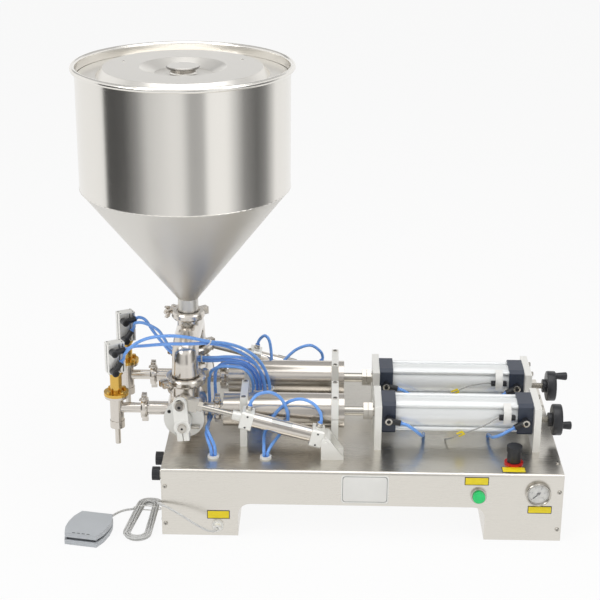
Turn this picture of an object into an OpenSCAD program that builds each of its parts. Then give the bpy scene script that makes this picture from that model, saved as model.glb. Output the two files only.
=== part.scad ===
// Bench-top pneumatic filling machine with two piston heads and one shared hopper.
// Millimetres. +X runs from the nozzles to the handwheels, +Y to the back, +Z up.
// The origin lies on the bench, at the middle of the base's four bench bolts.

/* [Base] */
// Width of the base, along the heads
base_w = 720; // [660:2:800]
// Depth of the base, front to back
base_d = 424; // [400:2:480]
// Height of the base's top plate
base_h = 132; // [116:1:150]
// Thickness of the base's sheet steel
sheet_t = 2; // [1.5:0.5:3]
// Outside radius of the bends along the top edges
bend_r = 6; // [4:0.5:8]
// Width of the gap between the two legs
arch_w = 444; // [360:2:480]
// Height of the gap between the two legs
arch_h = 65; // [50:1:74]
// Radius of the gap's upper corners
arch_r = 22; // [10:1:30]
// Distance between bench bolts along X
bolt_dx = 580; // [540:2:620]
// Distance between bench bolts along Y
bolt_dy = 340; // [300:2:360]
// Diameter of the bench bolt holes
bolt_d = 9; // [6:0.5:12]

/* [Heads] */
// Distance between the axes of the two heads
head_pitch = 152; // [150:1:170]
// Height of the head axes above the top plate
axis_up = 57; // [50:1:70]
// Outside diameter of a product barrel
barrel_d = 64; // [58:1:66]
// Wall of a product barrel
barrel_wall = 3; // [2:0.5:4]
// Left end of the product barrels
barrel_x = -255; // [-257:1:-250]
// Length of a product barrel
barrel_l = 223; // [215:1:232]
// Thickness of the standing plates
plate_t = 13; // [10:1:16]
// Middle of the left barrel plate
barrel_plate_a = -216.5; // [-226:0.5:-205]
// Middle of the right barrel plate
barrel_plate_b = -49.5; // [-62:0.5:-44]
// Width of a barrel plate's tower
tower_w = 82; // [76:1:92]
// Height of a barrel plate's towers above the top plate
tower_up = 98; // [94:1:110]
// Height of the low web between the towers
web_up = 30; // [15:1:40]
// Piston diameter of the air cylinders
air_bore = 50; // [44:1:50]
// Wall of an air cylinder's tube
air_wall = 3; // [2:0.5:4]
// Length of an air cylinder's tube
air_l = 223; // [215:1:240]
// Left end of the air cylinders, at the inner cylinder plate
air_x = 36; // [32:1:44]
// Width and height of a cylinder's end cap
cap_w = 62; // [60:0.5:66]
// Bevel along a cap's edges
cap_bevel = 6; // [3:0.5:7]
// Thickness of the inner caps
cap_in_t = 26; // [22:1:30]
// Thickness of the outer caps
cap_out_t = 28; // [22:1:34]
// Diameter of a tie rod
tie_d = 8; // [5:0.5:9]
// Width of a cylinder plate's tower
cyl_tower_w = 94; // [88:1:104]
// Height of a cylinder plate's towers above the top plate
cyl_tower_up = 87; // [84:1:96]
// Diameter of a piston rod
rod_d = 18; // [14:1:22]
// Travel of the pistons
stroke = 150; // [120:1:152]
// Thickness of a product piston
piston_t = 30; // [20:1:34]
// Thickness of an air piston
air_piston_t = 24; // [16:1:26]
// Distance that the rear volume stop stands further out than the front one
stop_offset = 9; // [0:1:12]
// Diameter of a volume screw
screw_d = 12; // [8:1:16]
// Distance of the volume screws below the head axes
screw_drop = 12; // [0:1:13]
// Diameter of a handwheel
wheel_d = 58; // [50:1:70]

/* [Valves and nozzles] */
// Place of the valves, the manifold and the hopper along X
valve_x = -325; // [-328:1:-320]
// Diameter of a valve body
valve_d = 72; // [66:1:76]
// Length of a valve body along Y
valve_l = 78; // [72:1:80]
// Diameter of a valve rotor
rotor_d = 52; // [44:1:54]
// Thickness of a valve cover
cover_t = 6; // [4:0.5:7]
// Diameter of a valve shaft
shaft_d = 16; // [12:1:18]
// Diameter of the feed pipes above the valves
feed_d = 51; // [44:1:54]
// Diameter of the pipe between valve and nozzle clamp
port_d = 25.4; // [20:0.2:28]
// Diameter of the nozzle's side pipe
side_d = 19; // [16:0.5:21]
// Wall of the pipes
pipe_wall = 2; // [1:0.5:3]
// Place of the nozzles along X
nozzle_x = -454; // [-465:1:-445]
// Diameter of a nozzle tube
nozzle_d = 25.4; // [22:0.2:28]
// Diameter of a nozzle tip
tip_d = 10.4; // [9:0.2:13]
// Lift of a shut-off plunger
lift = 10; // [5:1:12]
// Distance from a valve's shaft to the crank's slot
crank_r = 44; // [40:0.5:50]
// Lean of the crank at rest, to the left
crank_lean = 5; // [0:1:10]
// Distance from the head axis plane to the crank's plane
crank_out = 79; // [77:0.5:83]

/* [Hopper] */
// Diameter of the hopper
hopper_d = 380; // [340:2:420]
// Wall of the hopper
hopper_wall = 2; // [1.5:0.5:3]
// Height of the hopper's clamp above the valve axes
hopper_up = 159; // [155:1:170]
// Height of the cone
cone_h = 218; // [180:1:240]
// Height of the straight wall
wall_h = 217; // [150:1:260]
// Diameter of the hopper's neck
neck_d = 38; // [32:0.5:42]
// Diameter of the rolled rim
rim_d = 10; // [8:0.5:14]

/* [Controls] */
// Distance of the start button from the base's right end
button_in = 151; // [130:1:180]
// Height of the start button
button_z = 89.5; // [80:0.5:96]
// Travel of the start button
button_travel = 3.5; // [2:0.5:4]
// Distance of the pressure gauge from the base's right end
gauge_in = 45; // [38:1:70]
// Height of the pressure gauge
gauge_z = 95.5; // [90:0.5:100]
// Diameter of the pressure gauge
gauge_d = 44; // [40:1:48]
// Distance of the pressure regulator from the base's right end
regulator_in = 86; // [80:1:100]
// Distance of the pressure regulator in front of the middle
regulator_out = 168; // [150:1:172]

/* [Foot pedal] */
// Length of the foot pedal
pedal_l = 92; // [84:1:100]
// Width of the pedal at its ends
pedal_end_w = 60; // [54:1:66]
// Width of the pedal at its middle
pedal_mid_w = 78; // [72:1:84]
// Height of the pedal's base
pedal_base_h = 9; // [8:0.5:12]
// Thickness of the treadle
treadle_t = 8.5; // [6:0.5:10]
// Diameter of the pedal's cord
cord_d = 4; // [3:0.5:4]

/* [Hidden] */
$fn = 48;

// Radial clearance of a running fit
fit = 0.05;
// Clear gap between faces of pieces that move past each other
gap = 0.4;
// Overlap of joined shapes within one piece
join = 0.5;

axis_z = base_h + axis_up;
head_y = head_pitch / 2;
barrel_r = barrel_d / 2;
barrel_bore = barrel_r - barrel_wall;
inner_plate_x = air_x - plate_t;
tube_x = air_x + cap_in_t;
tube_end = tube_x + air_l;
outer_plate_x = tube_end + cap_out_t;
plate_end = outer_plate_x + plate_t;
steel = "#c9c7c3";
satin = "#b9b6b1";
alloy = "#d6d6d4";
black = "#222325";
navy = "#3a4658";
brass = "#c9a24a";
blue = "#3f74d8";
grey = "#a9acae";

// Local Z turned to +X, from the given place
module along_x(x) { translate([x, 0, 0]) rotate([0, 90, 0]) children(); }
// Local Z turned to +Y, from the given place
module along_y(y) { translate([0, y, 0]) rotate([-90, 0, 0]) children(); }
// On the axis of the head on one side, -1 front and 1 rear
module on_head(side) { translate([0, side * head_y, axis_z]) children(); }
// The front piece as drawn, or its mirror image at the back
module on_side(side) { mirror([0, side > 0 ? 1 : 0, 0]) children(); }
// Both heads
module both_heads() { for (side = [-1, 1]) on_head(side) children(); }
module both_sides() { for (side = [-1, 1]) on_side(side) children(); }
module tube(r, wall, l) {
    difference() {
        cylinder(r = r, h = l);
        translate([0, 0, -1]) cylinder(r = r - wall, h = l + 2);
    }
}
// Flat shape standing on the X axis, with its two upper corners rounded
module arch_2d(w, h, r) {
    translate([-w / 2, 0]) square([w, h - r]);
    translate([-w / 2 + r, 0]) square([w - 2 * r, h]);
    for (s = [-1, 1]) translate([s * (w / 2 - r), h - r]) circle(r = r);
}
// Square with bevelled corners
module bevel_2d(w, c) {
    h = w / 2;
    polygon([[h - c, -h], [h, c - h], [h, h - c], [h - c, h],
        [c - h, h], [-h, h - c], [-h, c - h], [c - h, -h]]);
}
module hexagon(af, h) { cylinder(r = af / sqrt(3), h = h, $fn = 6); }

// Smooth tubes along hand-chosen points
function unit(v) = v / norm(v);
function spline_at(a, b, c, d, t) =
    0.5 * (2 * b + (c - a) * t + (2 * a - 5 * b + 4 * c - d) * t * t + (3 * b - a - 3 * c + d) * t * t * t);
function smooth(p, n) = let (m = len(p) - 1) concat(
    [for (i = [0 : m - 1], j = [0 : n - 1])
        spline_at(i > 0 ? p[i - 1] : 2 * p[0] - p[1], p[i], p[i + 1],
            i < m - 1 ? p[i + 2] : 2 * p[m] - p[m - 1], j / n)],
    [p[m]]);
function along(p, i) = unit(p[min(i + 1, len(p) - 1)] - p[max(i - 1, 0)]);
function carried(v, t) = unit(v - (v * t) * t);
function any_normal(t) = carried(abs(t.z) < 0.8 ? [0, 0, 1] : [1, 0, 0], t);
function tube_points(p, r, sides) = let (normals =
    [for (i = 0, v = any_normal(along(p, 0)); i < len(p);
        v = i + 1 < len(p) ? carried(v, along(p, i + 1)) : v, i = i + 1) v])
    [for (i = [0 : len(p) - 1], k = [0 : sides - 1])
        let (w = cross(along(p, i), normals[i]), a = 360 * (k + 0.5) / sides)
        p[i] + r * (cos(a) * normals[i] + sin(a) * w)];
module swept(p, d, sides = 8) {
    last = (len(p) - 1) * sides;
    polyhedron(tube_points(p, d / 2, sides), concat(
        [for (i = [0 : len(p) - 2], k = [0 : sides - 1])
            [i * sides + k, (i + 1) * sides + k, i * sides + (k + 1) % sides]],
        [for (i = [0 : len(p) - 2], k = [0 : sides - 1])
            [(i + 1) * sides + k, (i + 1) * sides + (k + 1) % sides, i * sides + (k + 1) % sides]],
        [for (k = [1 : sides - 2]) [0, k, k + 1]],
        [for (k = [1 : sides - 2]) [last, last + k + 1, last + k]]));
}

// Base: sheet steel shell, panels and what is fitted in them
shell_l = base_w - 2 * sheet_t;
front_y = -base_d / 2;
bush_r = 7.6;
bush_flange_r = 10.5;
bush_out = 84;
bush_y = -head_y - bush_out;
bush_x = [-269, -174];
gland_x = -259;
gland_z = 21;
cord_play = 0.3;
knob_panel_x = -base_w / 2;
speed_in = [38, 98];
speed_y = [for (y = speed_in) y - base_d / 2];
speed_z = base_h - 28;
speed_stem_r = 4;
button_x = base_w / 2 - button_in;
gauge_x = base_w / 2 - gauge_in;
regulator_x = base_w / 2 - regulator_in;
button_r = 11.2;
button_body_r = 12.6;
bezel_r = 14.5;
gauge_body_r = gauge_d / 2 - 3;
reg_neck_r = 10;
reg_stem_r = 4;
inlet_x = base_w / 2;
inlet_y = base_d / 4;
inlet_z = base_h - 40;
inlet_thread_r = 6.6;

module base_shell() {
    color(steel) difference() {
        translate([-shell_l / 2, 0, 0]) rotate([90, 0, 90]) linear_extrude(shell_l) difference() {
            arch_2d(base_d, base_h, bend_r);
            translate([0, -1]) arch_2d(base_d - 2 * sheet_t, base_h - sheet_t + 1, bend_r - sheet_t);
        }
        translate([0, base_d / 2 + 1, -1]) rotate([90, 0, 0]) linear_extrude(base_d + 2)
            arch_2d(arch_w, arch_h + 1, arch_r);
        for (hole = [[button_x, button_z, button_body_r], [gauge_x, gauge_z, gauge_body_r],
            [gland_x, gland_z, bush_r]])
            translate([hole[0], 0, hole[1]]) along_y(front_y - 1) cylinder(r = hole[2], h = sheet_t + 2);
        translate([regulator_x, -regulator_out, base_h - sheet_t - 1])
            cylinder(r = reg_neck_r, h = sheet_t + 2);
        for (x = bush_x, s = [-1, 1]) translate([x, s * bush_y, base_h - sheet_t - 1])
            cylinder(r = bush_r, h = sheet_t + 2);
    }
}
module end_panel() {
    flange = 16;
    translate([base_w / 2 - sheet_t, 0, 0]) rotate([90, 0, 90]) linear_extrude(sheet_t)
        arch_2d(base_d, base_h, bend_r);
    flange_y = base_d / 2 - 1.5 * sheet_t;
    for (s = [-1, 1]) translate([base_w / 2 - sheet_t - flange, s * flange_y - sheet_t / 2, sheet_t])
        cube([flange + join, sheet_t, base_h - 2 * bend_r - sheet_t]);
}
module bottom_tray() {
    w = base_d - 2 * sheet_t;
    color(satin) difference() {
        translate([0, w / 2, 0]) rotate([90, 0, 0]) linear_extrude(w) {
            difference() {
                arch_2d(arch_w + 2 * sheet_t, arch_h + sheet_t, arch_r + sheet_t);
                translate([0, -1]) arch_2d(arch_w, arch_h + 1, arch_r);
            }
            for (s = [-1, 1]) translate([s * (arch_w / 2 + shell_l / 2) / 2, sheet_t / 2])
                square([(shell_l - arch_w) / 2, sheet_t], center = true);
        }
        for (x = [-1, 1], y = [-1, 1]) translate([x * bolt_dx / 2, y * bolt_dy / 2, -1])
            cylinder(d = bolt_d, h = sheet_t + 2);
    }
}
module base_panels() {
    color(satin) {
        difference() {
            end_panel();
            translate([0, inlet_y, inlet_z]) along_x(inlet_x - sheet_t - 1)
                cylinder(r = inlet_thread_r + 2.4, h = sheet_t + 2);
        }
        difference() {
            mirror([1, 0, 0]) end_panel();
            for (y = speed_y) translate([0, y, speed_z]) along_x(knob_panel_x - 1)
                cylinder(r = speed_stem_r + 2, h = sheet_t + 2);
        }
    }
}
// Plastic bushes in the sheet, where hoses and the pedal's cord go through
module bush(bore_r) {
    difference() {
        union() {
            cylinder(r = bush_flange_r, h = 4);
            translate([0, 0, -sheet_t]) cylinder(r = bush_r, h = sheet_t + join);
        }
        translate([0, 0, -sheet_t - 1]) cylinder(r = bore_r, h = sheet_t + 6);
    }
}
module cable_bushes() {
    color("#efefec") {
        for (x = bush_x, s = [-1, 1]) translate([x, s * bush_y, base_h]) bush(bush_r - 1);
        translate([gland_x, front_y, gland_z]) rotate([90, 0, 0]) {
            bush(cord_d / 2 + cord_play);
            translate([0, 0, 4 - join]) difference() {
                cylinder(r = 7, h = 9);
                translate([0, 0, -1]) cylinder(r = cord_d / 2 + cord_play, h = 12);
            }
        }
    }
}
// Air controls inside the base: the valve block on the tray, and the pressure regulator,
// whose body hangs under the top plate from its neck
reg_body_h = 46;
ring_t = 4;
reg_stem_h = 20;
knob_h = 31;
control_block = [96, 62, 38];
module air_controls() {
    color(alloy) translate([-control_block.x / 2, -control_block.y / 2, arch_h + sheet_t]) {
        cube(control_block);
        for (k = [1 : 3]) translate([k * control_block.x / 4, control_block.y / 2, control_block.z - join])
            cylinder(r = 6, h = 8);
    }
    color(alloy) translate([regulator_x, -regulator_out, base_h]) {
        translate([0, 0, -sheet_t - reg_body_h]) cylinder(r = 20, h = reg_body_h);
        translate([0, 0, -sheet_t - join]) cylinder(r = reg_neck_r, h = sheet_t + ring_t + join);
        cylinder(r = reg_stem_r, h = ring_t + reg_stem_h);
    }
}
module regulator_ring() {
    color("#c42a24") translate([regulator_x, -regulator_out, base_h]) difference() {
        cylinder(r = 17, h = ring_t);
        translate([0, 0, -1]) cylinder(r = reg_neck_r, h = ring_t + 2);
    }
}
module regulator_knob() {
    color(black) translate([regulator_x, -regulator_out, base_h + ring_t + gap]) difference() {
        union() {
            cylinder(r = 12.5, h = knob_h - 10);
            translate([0, 0, knob_h - 10 - join]) cylinder(r = 14, h = 10 + join);
        }
        translate([0, 0, -1]) cylinder(r = reg_stem_r + fit, h = reg_stem_h + 2);
        for (k = [0 : 11]) rotate(30 * k) translate([14.6, 0, knob_h - 11]) cylinder(r = 1.4, h = 12);
    }
}
// Pressure gauge: a case with a bezel round the dial, a spindle and a needle on it
dial_y = front_y - 1.5;
bezel_h = 7;
spindle_r = 1;
module gauge_case() {
    color(steel) translate([gauge_x, 0, gauge_z]) {
        along_y(front_y) cylinder(r = gauge_body_r, h = 24);
        along_y(dial_y) cylinder(r = gauge_d / 2, h = -dial_y + front_y);
        along_y(front_y - bezel_h) tube(gauge_d / 2, 3, bezel_h);
        along_y(dial_y - 2.6) cylinder(r = spindle_r, h = 3);
    }
}
module gauge_needle() {
    color(black) translate([gauge_x, 0, gauge_z]) along_y(dial_y - 2.2) difference() {
        union() {
            cylinder(r = 2.4, h = 1.4);
            rotate(-225) translate([-5, -0.8, 0]) cube([gauge_body_r - 1, 1.6, 0.8]);
        }
        translate([0, 0, -1]) cylinder(r = spindle_r + fit, h = 4);
    }
}
// Start button: a panel body with a bright bezel, and the cap that is pushed
bezel_t = 5;
cap_out = 10;
cap_in = 2;
stem_r = 4;
module button_bezel() {
    color("#dcdcdc") translate([button_x, 0, button_z]) difference() {
        union() {
            along_y(front_y - bezel_t) cylinder(r = bezel_r, h = bezel_t);
            along_y(front_y - join) cylinder(r = button_body_r, h = 38);
        }
        along_y(front_y - bezel_t - 1)
            cylinder(r = button_r + 0.3, h = bezel_t + cap_in + button_travel + 2);
        along_y(front_y) cylinder(r = stem_r + fit, h = 34);
    }
}
module start_button() {
    color("#1f9d55") translate([button_x, 0, button_z]) {
        along_y(front_y - cap_out) cylinder(r = button_r, h = cap_out + cap_in);
        along_y(front_y) cylinder(r = stem_r, h = 22);
    }
}
// Two air-flow controls in the left panel: a bright ring nut and stem, with a knob on it
speed_nut_t = 5;
speed_knob_t = 14;
module speed_control_bodies() {
    color("#d8d8d6") for (y = speed_y) translate([0, y, speed_z]) {
        along_x(knob_panel_x - speed_nut_t) cylinder(r = 10.5, h = speed_nut_t);
        along_x(knob_panel_x - join) cylinder(r = speed_stem_r + 2, h = 24);
        along_x(knob_panel_x - speed_nut_t - 10) cylinder(r = speed_stem_r, h = 12);
    }
}
module speed_knob(y) {
    knob_x = knob_panel_x - speed_nut_t - gap - speed_knob_t;
    color(black) translate([0, y, speed_z]) along_x(knob_x) difference() {
        cylinder(r = 12.5, h = speed_knob_t);
        translate([0, 0, 3]) cylinder(r = speed_stem_r + fit, h = speed_knob_t);
        for (k = [0 : 17]) rotate(20 * k) translate([12.9, 0, -1]) cylinder(r = 1, h = speed_knob_t - 1);
    }
}
module front_speed_knob() { speed_knob(speed_y[0]); }
module rear_speed_knob() { speed_knob(speed_y[1]); }
module air_inlet() {
    color(brass) translate([0, inlet_y, inlet_z]) difference() {
        union() {
            along_x(inlet_x) hexagon(22, 9);
            along_x(inlet_x - sheet_t - 18) cylinder(r = inlet_thread_r + 2.4, h = sheet_t + 18 + join);
            along_x(inlet_x - sheet_t - 7) hexagon(22, 7);
        }
        along_x(inlet_x - 10) cylinder(r = inlet_thread_r, h = 24);
    }
}

// Standing plates
module tower_plate(x, w, up) {
    translate([x - plate_t / 2, 0, base_h]) {
        for (s = [-1, 1]) translate([0, s * head_y - w / 2, 0]) cube([plate_t, w, up]);
        translate([0, -head_y, 0]) cube([plate_t, head_pitch, web_up]);
    }
}
split = 0.5;
module barrel_plates() {
    color(alloy) for (x = [barrel_plate_a, barrel_plate_b]) difference() {
        tower_plate(x, tower_w, axis_up - split);
        both_heads() along_x(x - plate_t) cylinder(r = barrel_r + fit, h = 2 * plate_t);
    }
}
module barrel_caps() {
    color(alloy) for (x = [barrel_plate_a, barrel_plate_b]) both_heads() difference() {
        translate([x - plate_t / 2, -tower_w / 2, split])
            cube([plate_t, tower_w, tower_up - axis_up - split]);
        along_x(x - plate_t) cylinder(r = barrel_r + fit, h = 2 * plate_t);
    }
}
module cylinder_plates() {
    color(alloy) {
        difference() {
            tower_plate(inner_plate_x + plate_t / 2, cyl_tower_w, cyl_tower_up);
            both_heads() along_x(inner_plate_x - 1) cylinder(r = rod_d / 2 + 2, h = plate_t + 2);
        }
        difference() {
            tower_plate(outer_plate_x + plate_t / 2, cyl_tower_w, cyl_tower_up);
            both_heads() translate([0, 0, -screw_drop]) along_x(outer_plate_x - 1)
                cylinder(r = screw_d / 2 + 1, h = plate_t + 2);
        }
    }
}

// Pipe joints: a flanged end on each pipe, held by a clamp ring
ferrule_r = 25.2;
port_ferrule_r = 17;
ferrule_t = 3;
feed_ferrule_r = 32;
port_bore = side_d / 2 - pipe_wall;
barrel_neck = 11.5;
nozzle_reach = 77;
barrel_joint_x = barrel_x - barrel_neck;
nozzle_joint_x = valve_x - nozzle_reach;

// Product barrel with its closed end and the flanged port towards the valve
module product_barrels() {
    color(satin) both_heads() difference() {
        union() {
            along_x(barrel_x) cylinder(r = barrel_r, h = barrel_l);
            along_x(barrel_joint_x) cylinder(d = port_d, h = barrel_x - barrel_joint_x + join);
            along_x(barrel_joint_x) cylinder(r = port_ferrule_r, h = ferrule_t);
        }
        along_x(barrel_x + end_wall) cylinder(r = barrel_bore, h = barrel_l);
        along_x(barrel_joint_x - 1) cylinder(r = port_bore, h = 30);
    }
}
// Air cylinders
module cylinder_tubes() {
    color("#e4e6e8") both_heads() along_x(tube_x) tube(air_bore / 2 + air_wall, air_wall, air_l);
}
module cylinder_caps() {
    color(navy) both_heads() {
        difference() {
            along_x(air_x) linear_extrude(cap_in_t) bevel_2d(cap_w, cap_bevel);
            along_x(air_x - 1) cylinder(r = rod_d / 2 + fit, h = cap_in_t + 2);
        }
        difference() {
            along_x(tube_end) linear_extrude(cap_out_t) bevel_2d(cap_w, cap_bevel);
            translate([0, 0, -screw_drop]) along_x(tube_end - 1)
                cylinder(r = screw_d / 2 + fit, h = cap_out_t + 2);
        }
    }
}
tie_reach = air_bore / 2 + air_wall + tie_d / 2 + 0.3;
tie_at = max(cap_w / 2 - cap_bevel / 2 - tie_d / 2 - 1, tie_reach / sqrt(2));
module tie_rods() {
    color("#dfe1e2") both_heads() for (y = [-1, 1], z = [-1, 1])
        translate([0, y * tie_at, z * tie_at]) along_x(tube_x) cylinder(d = tie_d, h = air_l);
}
// Pistons: the same rod carries the product piston and the air piston
rest_gap = 0.5;
pad_t = 8;
pad_x = outer_plate_x - 73;
air_piston_x = pad_x - rest_gap - air_piston_t;
end_wall = 6;
end_clear = 11;
piston_x = barrel_x + end_wall + end_clear + stroke;
nut_af = 30;
module piston_rod(side) {
    color("#d4d3d0") on_head(side) {
        along_x(piston_x + piston_t) cylinder(d = rod_d, h = air_piston_x - piston_x - piston_t);
        for (x = [2, 11]) along_x(inner_plate_x - x - 9) hexagon(nut_af, 8.4);
    }
}
module pistons(side) {
    color("#e9e7e0") on_head(side) {
        difference() {
            along_x(piston_x) cylinder(r = barrel_bore - fit, h = piston_t);
            for (x = [8, piston_t - 11]) along_x(piston_x + x) tube(barrel_bore + 1, 3, 3);
        }
        along_x(air_piston_x) cylinder(r = air_bore / 2 - fit, h = air_piston_t);
    }
}
module front_piston_rod() { piston_rod(-1); }
module rear_piston_rod() { piston_rod(1); }
module front_pistons() { pistons(-1); }
module rear_pistons() { pistons(1); }

// Volume stops: a pad inside the cylinder on the end of a screw that the handwheel turns
nose_r = 4;
nose_l = 6;
pad_r = air_bore / 2 - screw_drop - 1;
wheel_gap = 18;
wheel_t = 25;
wheel_hub_r = 13;
wheel_hub_l = 7.5;
wheel_rim_wall = 7;
wheel_dish = 8;
wheel_boss_r = 12;
wheel_boss_in = 3;
wheel_ease = 2;
handle_r = [6, 8];
handle_l = 26;
handle_sunk = 4;
function stop_out(side) = side > 0 ? stop_offset : 0;
module stop_pad(side) {
    color("#4b4d50") on_head(side) translate([stop_out(side), 0, -screw_drop]) difference() {
        along_x(pad_x) cylinder(r = pad_r, h = pad_t);
        along_x(pad_x + pad_t - nose_l - gap) cylinder(r = nose_r + fit, h = nose_l + 2);
    }
}
module front_stop_pad() { stop_pad(-1); }
module rear_stop_pad() { stop_pad(1); }
module handwheel(side, turn) {
    screw_x = pad_x + pad_t + gap;
    wheel_x = plate_end + wheel_gap;
    rim_r = wheel_d / 2;
    on_head(side) translate([stop_out(side), 0, -screw_drop]) {
        color("#cfcfcd") {
            along_x(screw_x) cylinder(d = screw_d, h = wheel_x - screw_x + join);
            along_x(pad_x + pad_t - nose_l) cylinder(r = nose_r, h = nose_l + gap + join);
        }
        color(black) rotate([turn, 0, 0]) {
            along_x(wheel_x) rotate_extrude() polygon([[0, 0], [wheel_hub_r, 0], [wheel_hub_r, wheel_hub_l],
                [rim_r - wheel_ease, wheel_hub_l], [rim_r, wheel_hub_l + wheel_ease],
                [rim_r, wheel_t - wheel_ease], [rim_r - wheel_ease, wheel_t],
                [rim_r - wheel_rim_wall, wheel_t],
                [rim_r - wheel_rim_wall - wheel_ease, wheel_t - wheel_dish],
                [wheel_boss_r, wheel_t - wheel_dish], [wheel_boss_r, wheel_t - wheel_boss_in],
                [0, wheel_t - wheel_boss_in]]);
            translate([0, 0, rim_r - handle_r[1]]) along_x(wheel_x + wheel_t - handle_sunk)
                cylinder(r1 = handle_r[0], r2 = handle_r[1], h = handle_l);
        }
    }
}
front_handle_turn = 215;
rear_handle_turn = 0;
module front_handwheel() { handwheel(-1, front_handle_turn); }
module rear_handwheel() { handwheel(1, rear_handle_turn); }

// Rotary valves: a drum across the head axis, ports left, right and up
valve_end = head_y + valve_l / 2;
valve_wall = 6;
feed_joint_z = 61;
rotor_bore = 10;
feed_bore = feed_d / 2 - pipe_wall;
module valve_bodies() {
    color(satin) both_sides() translate([valve_x, 0, axis_z]) difference() {
        union() {
            along_y(-valve_end) cylinder(d = valve_d, h = valve_l);
            translate([0, -head_y, 0]) {
                cylinder(d = feed_d, h = feed_joint_z);
                translate([0, 0, feed_joint_z - ferrule_t]) cylinder(r = feed_ferrule_r, h = ferrule_t);
                along_x(nozzle_joint_x - valve_x) cylinder(d = port_d, h = barrel_joint_x - nozzle_joint_x);
                along_x(nozzle_joint_x - valve_x) cylinder(r = port_ferrule_r, h = ferrule_t);
                along_x(barrel_joint_x - valve_x - ferrule_t) cylinder(r = port_ferrule_r, h = ferrule_t);
            }
        }
        along_y(-valve_end - 1) cylinder(d = rotor_d, h = valve_l - valve_wall + 1);
        translate([0, -head_y, 0]) {
            cylinder(r = rotor_bore, h = feed_joint_z);
            translate([0, 0, valve_d / 2 + 4]) cylinder(r = feed_bore, h = feed_joint_z);
            along_x(nozzle_joint_x - valve_x - 1)
                cylinder(r = port_bore, h = barrel_joint_x - nozzle_joint_x + 2);
        }
    }
}
module valve_covers() {
    color(alloy) both_sides() translate([valve_x, 0, axis_z]) difference() {
        along_y(-valve_end - cover_t) cylinder(r = valve_d / 2 + 1, h = cover_t);
        along_y(-valve_end - cover_t - 1) cylinder(d = shaft_d + 2 * fit, h = cover_t + 2);
    }
}
crank_y = head_y + crank_out;
crank_t = 10;
slot_r = 6.6;
slot_half = 4.6;
eye_r = 13;
pin_r = 4;
hub_r = 15;
module valve_rotor(side) {
    color("#d9d7d2") on_side(side) translate([valve_x, 0, axis_z]) {
        difference() {
            along_y(gap - valve_end) cylinder(r = rotor_d / 2 - fit, h = valve_l - valve_wall - 2 * gap);
            translate([0, -head_y, 0]) {
                translate([0, 0, -rotor_d]) cylinder(r = rotor_bore, h = 2 * rotor_d);
                along_x(0) cylinder(r = rotor_bore, h = rotor_d);
            }
        }
        along_y(-crank_y - 9) cylinder(d = shaft_d, h = crank_y + 9 - valve_end + gap + join);
    }
}
module front_valve_rotor() { valve_rotor(-1); }
module rear_valve_rotor() { valve_rotor(1); }
// Crank: a flat arm with a split clamp on the shaft and a slot for the rod's bolt
module crank(side) {
    color(alloy) on_side(side) translate([valve_x, 0, axis_z]) rotate([0, -crank_lean, 0]) difference() {
        union() {
            along_y(-crank_y - 6) cylinder(r = hub_r, h = 6 + crank_y - valve_end - cover_t - 3);
            translate([-eye_r, -crank_y - crank_t / 2, 0]) cube([2 * eye_r, crank_t, crank_r]);
            translate([0, 0, crank_r]) along_y(-crank_y - crank_t / 2) cylinder(r = eye_r, h = crank_t);
            translate([-11, -crank_y - 6, -26]) cube([22, 20, 26]);
        }
        along_y(-crank_y - 12) cylinder(d = shaft_d, h = crank_out + 20);
        translate([-0.8, -crank_y - 12, -40]) cube([1.6, crank_out, 40]);
        translate([0, 0, crank_r]) {
            for (z = [-1, 1]) translate([0, 0, z * slot_half]) along_y(-crank_y - crank_t)
                cylinder(r = slot_r, h = 2 * crank_t);
            translate([-slot_r, -crank_y - crank_t, -slot_half])
                cube([2 * slot_r, 2 * crank_t, 2 * slot_half]);
        }
    }
}
module front_crank() { crank(-1); }
module rear_crank() { crank(1); }

// Valve actuators: a small air cylinder between the bracket's pin and the crank
lug_t = 14;
tail_t = 34;
act_out = crank_out - crank_t / 2 - gap - lug_t / 2;
act_y = head_y + act_out;
pivot_x = -65;
pivot_up = 33;
pivot_z = base_h + pivot_up;
eye_x = valve_x - crank_r * sin(crank_lean);
eye_z = axis_z + crank_r * cos(crank_lean);
act_l = norm([pivot_x - eye_x, eye_z - pivot_z]);
act_tilt = atan2(eye_z - pivot_z, pivot_x - eye_x);
pivot_pin_r = 4;
tail_r = 9;
block_w = 34;
block_t = 22;
rear_block_u = 7;
front_block_u = 138;
act_r = 13.5;
act_bore = 10;
act_rod_r = 5;
nose_end_u = 176;
// Local +X runs from the pivot to the crank's slot, in a plane behind the crank
module on_actuator(side) {
    on_side(side) translate([pivot_x, -act_y, pivot_z]) rotate([0, act_tilt, 0]) mirror([1, 0, 0])
        children();
}
module actuator_barrel(side) {
    color(alloy) on_actuator(side) difference() {
        union() {
            for (u = [rear_block_u, front_block_u]) along_x(u) linear_extrude(block_t) bevel_2d(block_w, 3);
            along_x(rear_block_u + join) cylinder(r = act_r, h = front_block_u - rear_block_u);
            along_x(front_block_u + join) cylinder(r = 9, h = nose_end_u - front_block_u - join);
            translate([0, -tail_t / 2, -tail_r]) cube([rear_block_u + join, tail_t, 2 * tail_r]);
            along_y(-tail_t / 2) cylinder(r = tail_r, h = tail_t);
            for (u = [rear_block_u, front_block_u]) translate([u + block_t / 2, 0, block_w / 2 - join]) {
                cylinder(r = 5, h = 10);
                cylinder(r = 6, h = 5);
            }
        }
        along_y(-tail_t) cylinder(r = pivot_pin_r + fit, h = 2 * tail_t);
        along_x(rear_block_u + 10) cylinder(r = act_bore, h = front_block_u - rear_block_u - 4);
        along_x(rear_block_u + 20) cylinder(r = act_rod_r + fit, h = nose_end_u);
    }
}
module front_actuator_barrel() { actuator_barrel(-1); }
module rear_actuator_barrel() { actuator_barrel(1); }
lug_r = 11;
lug_l = 32;
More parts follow.
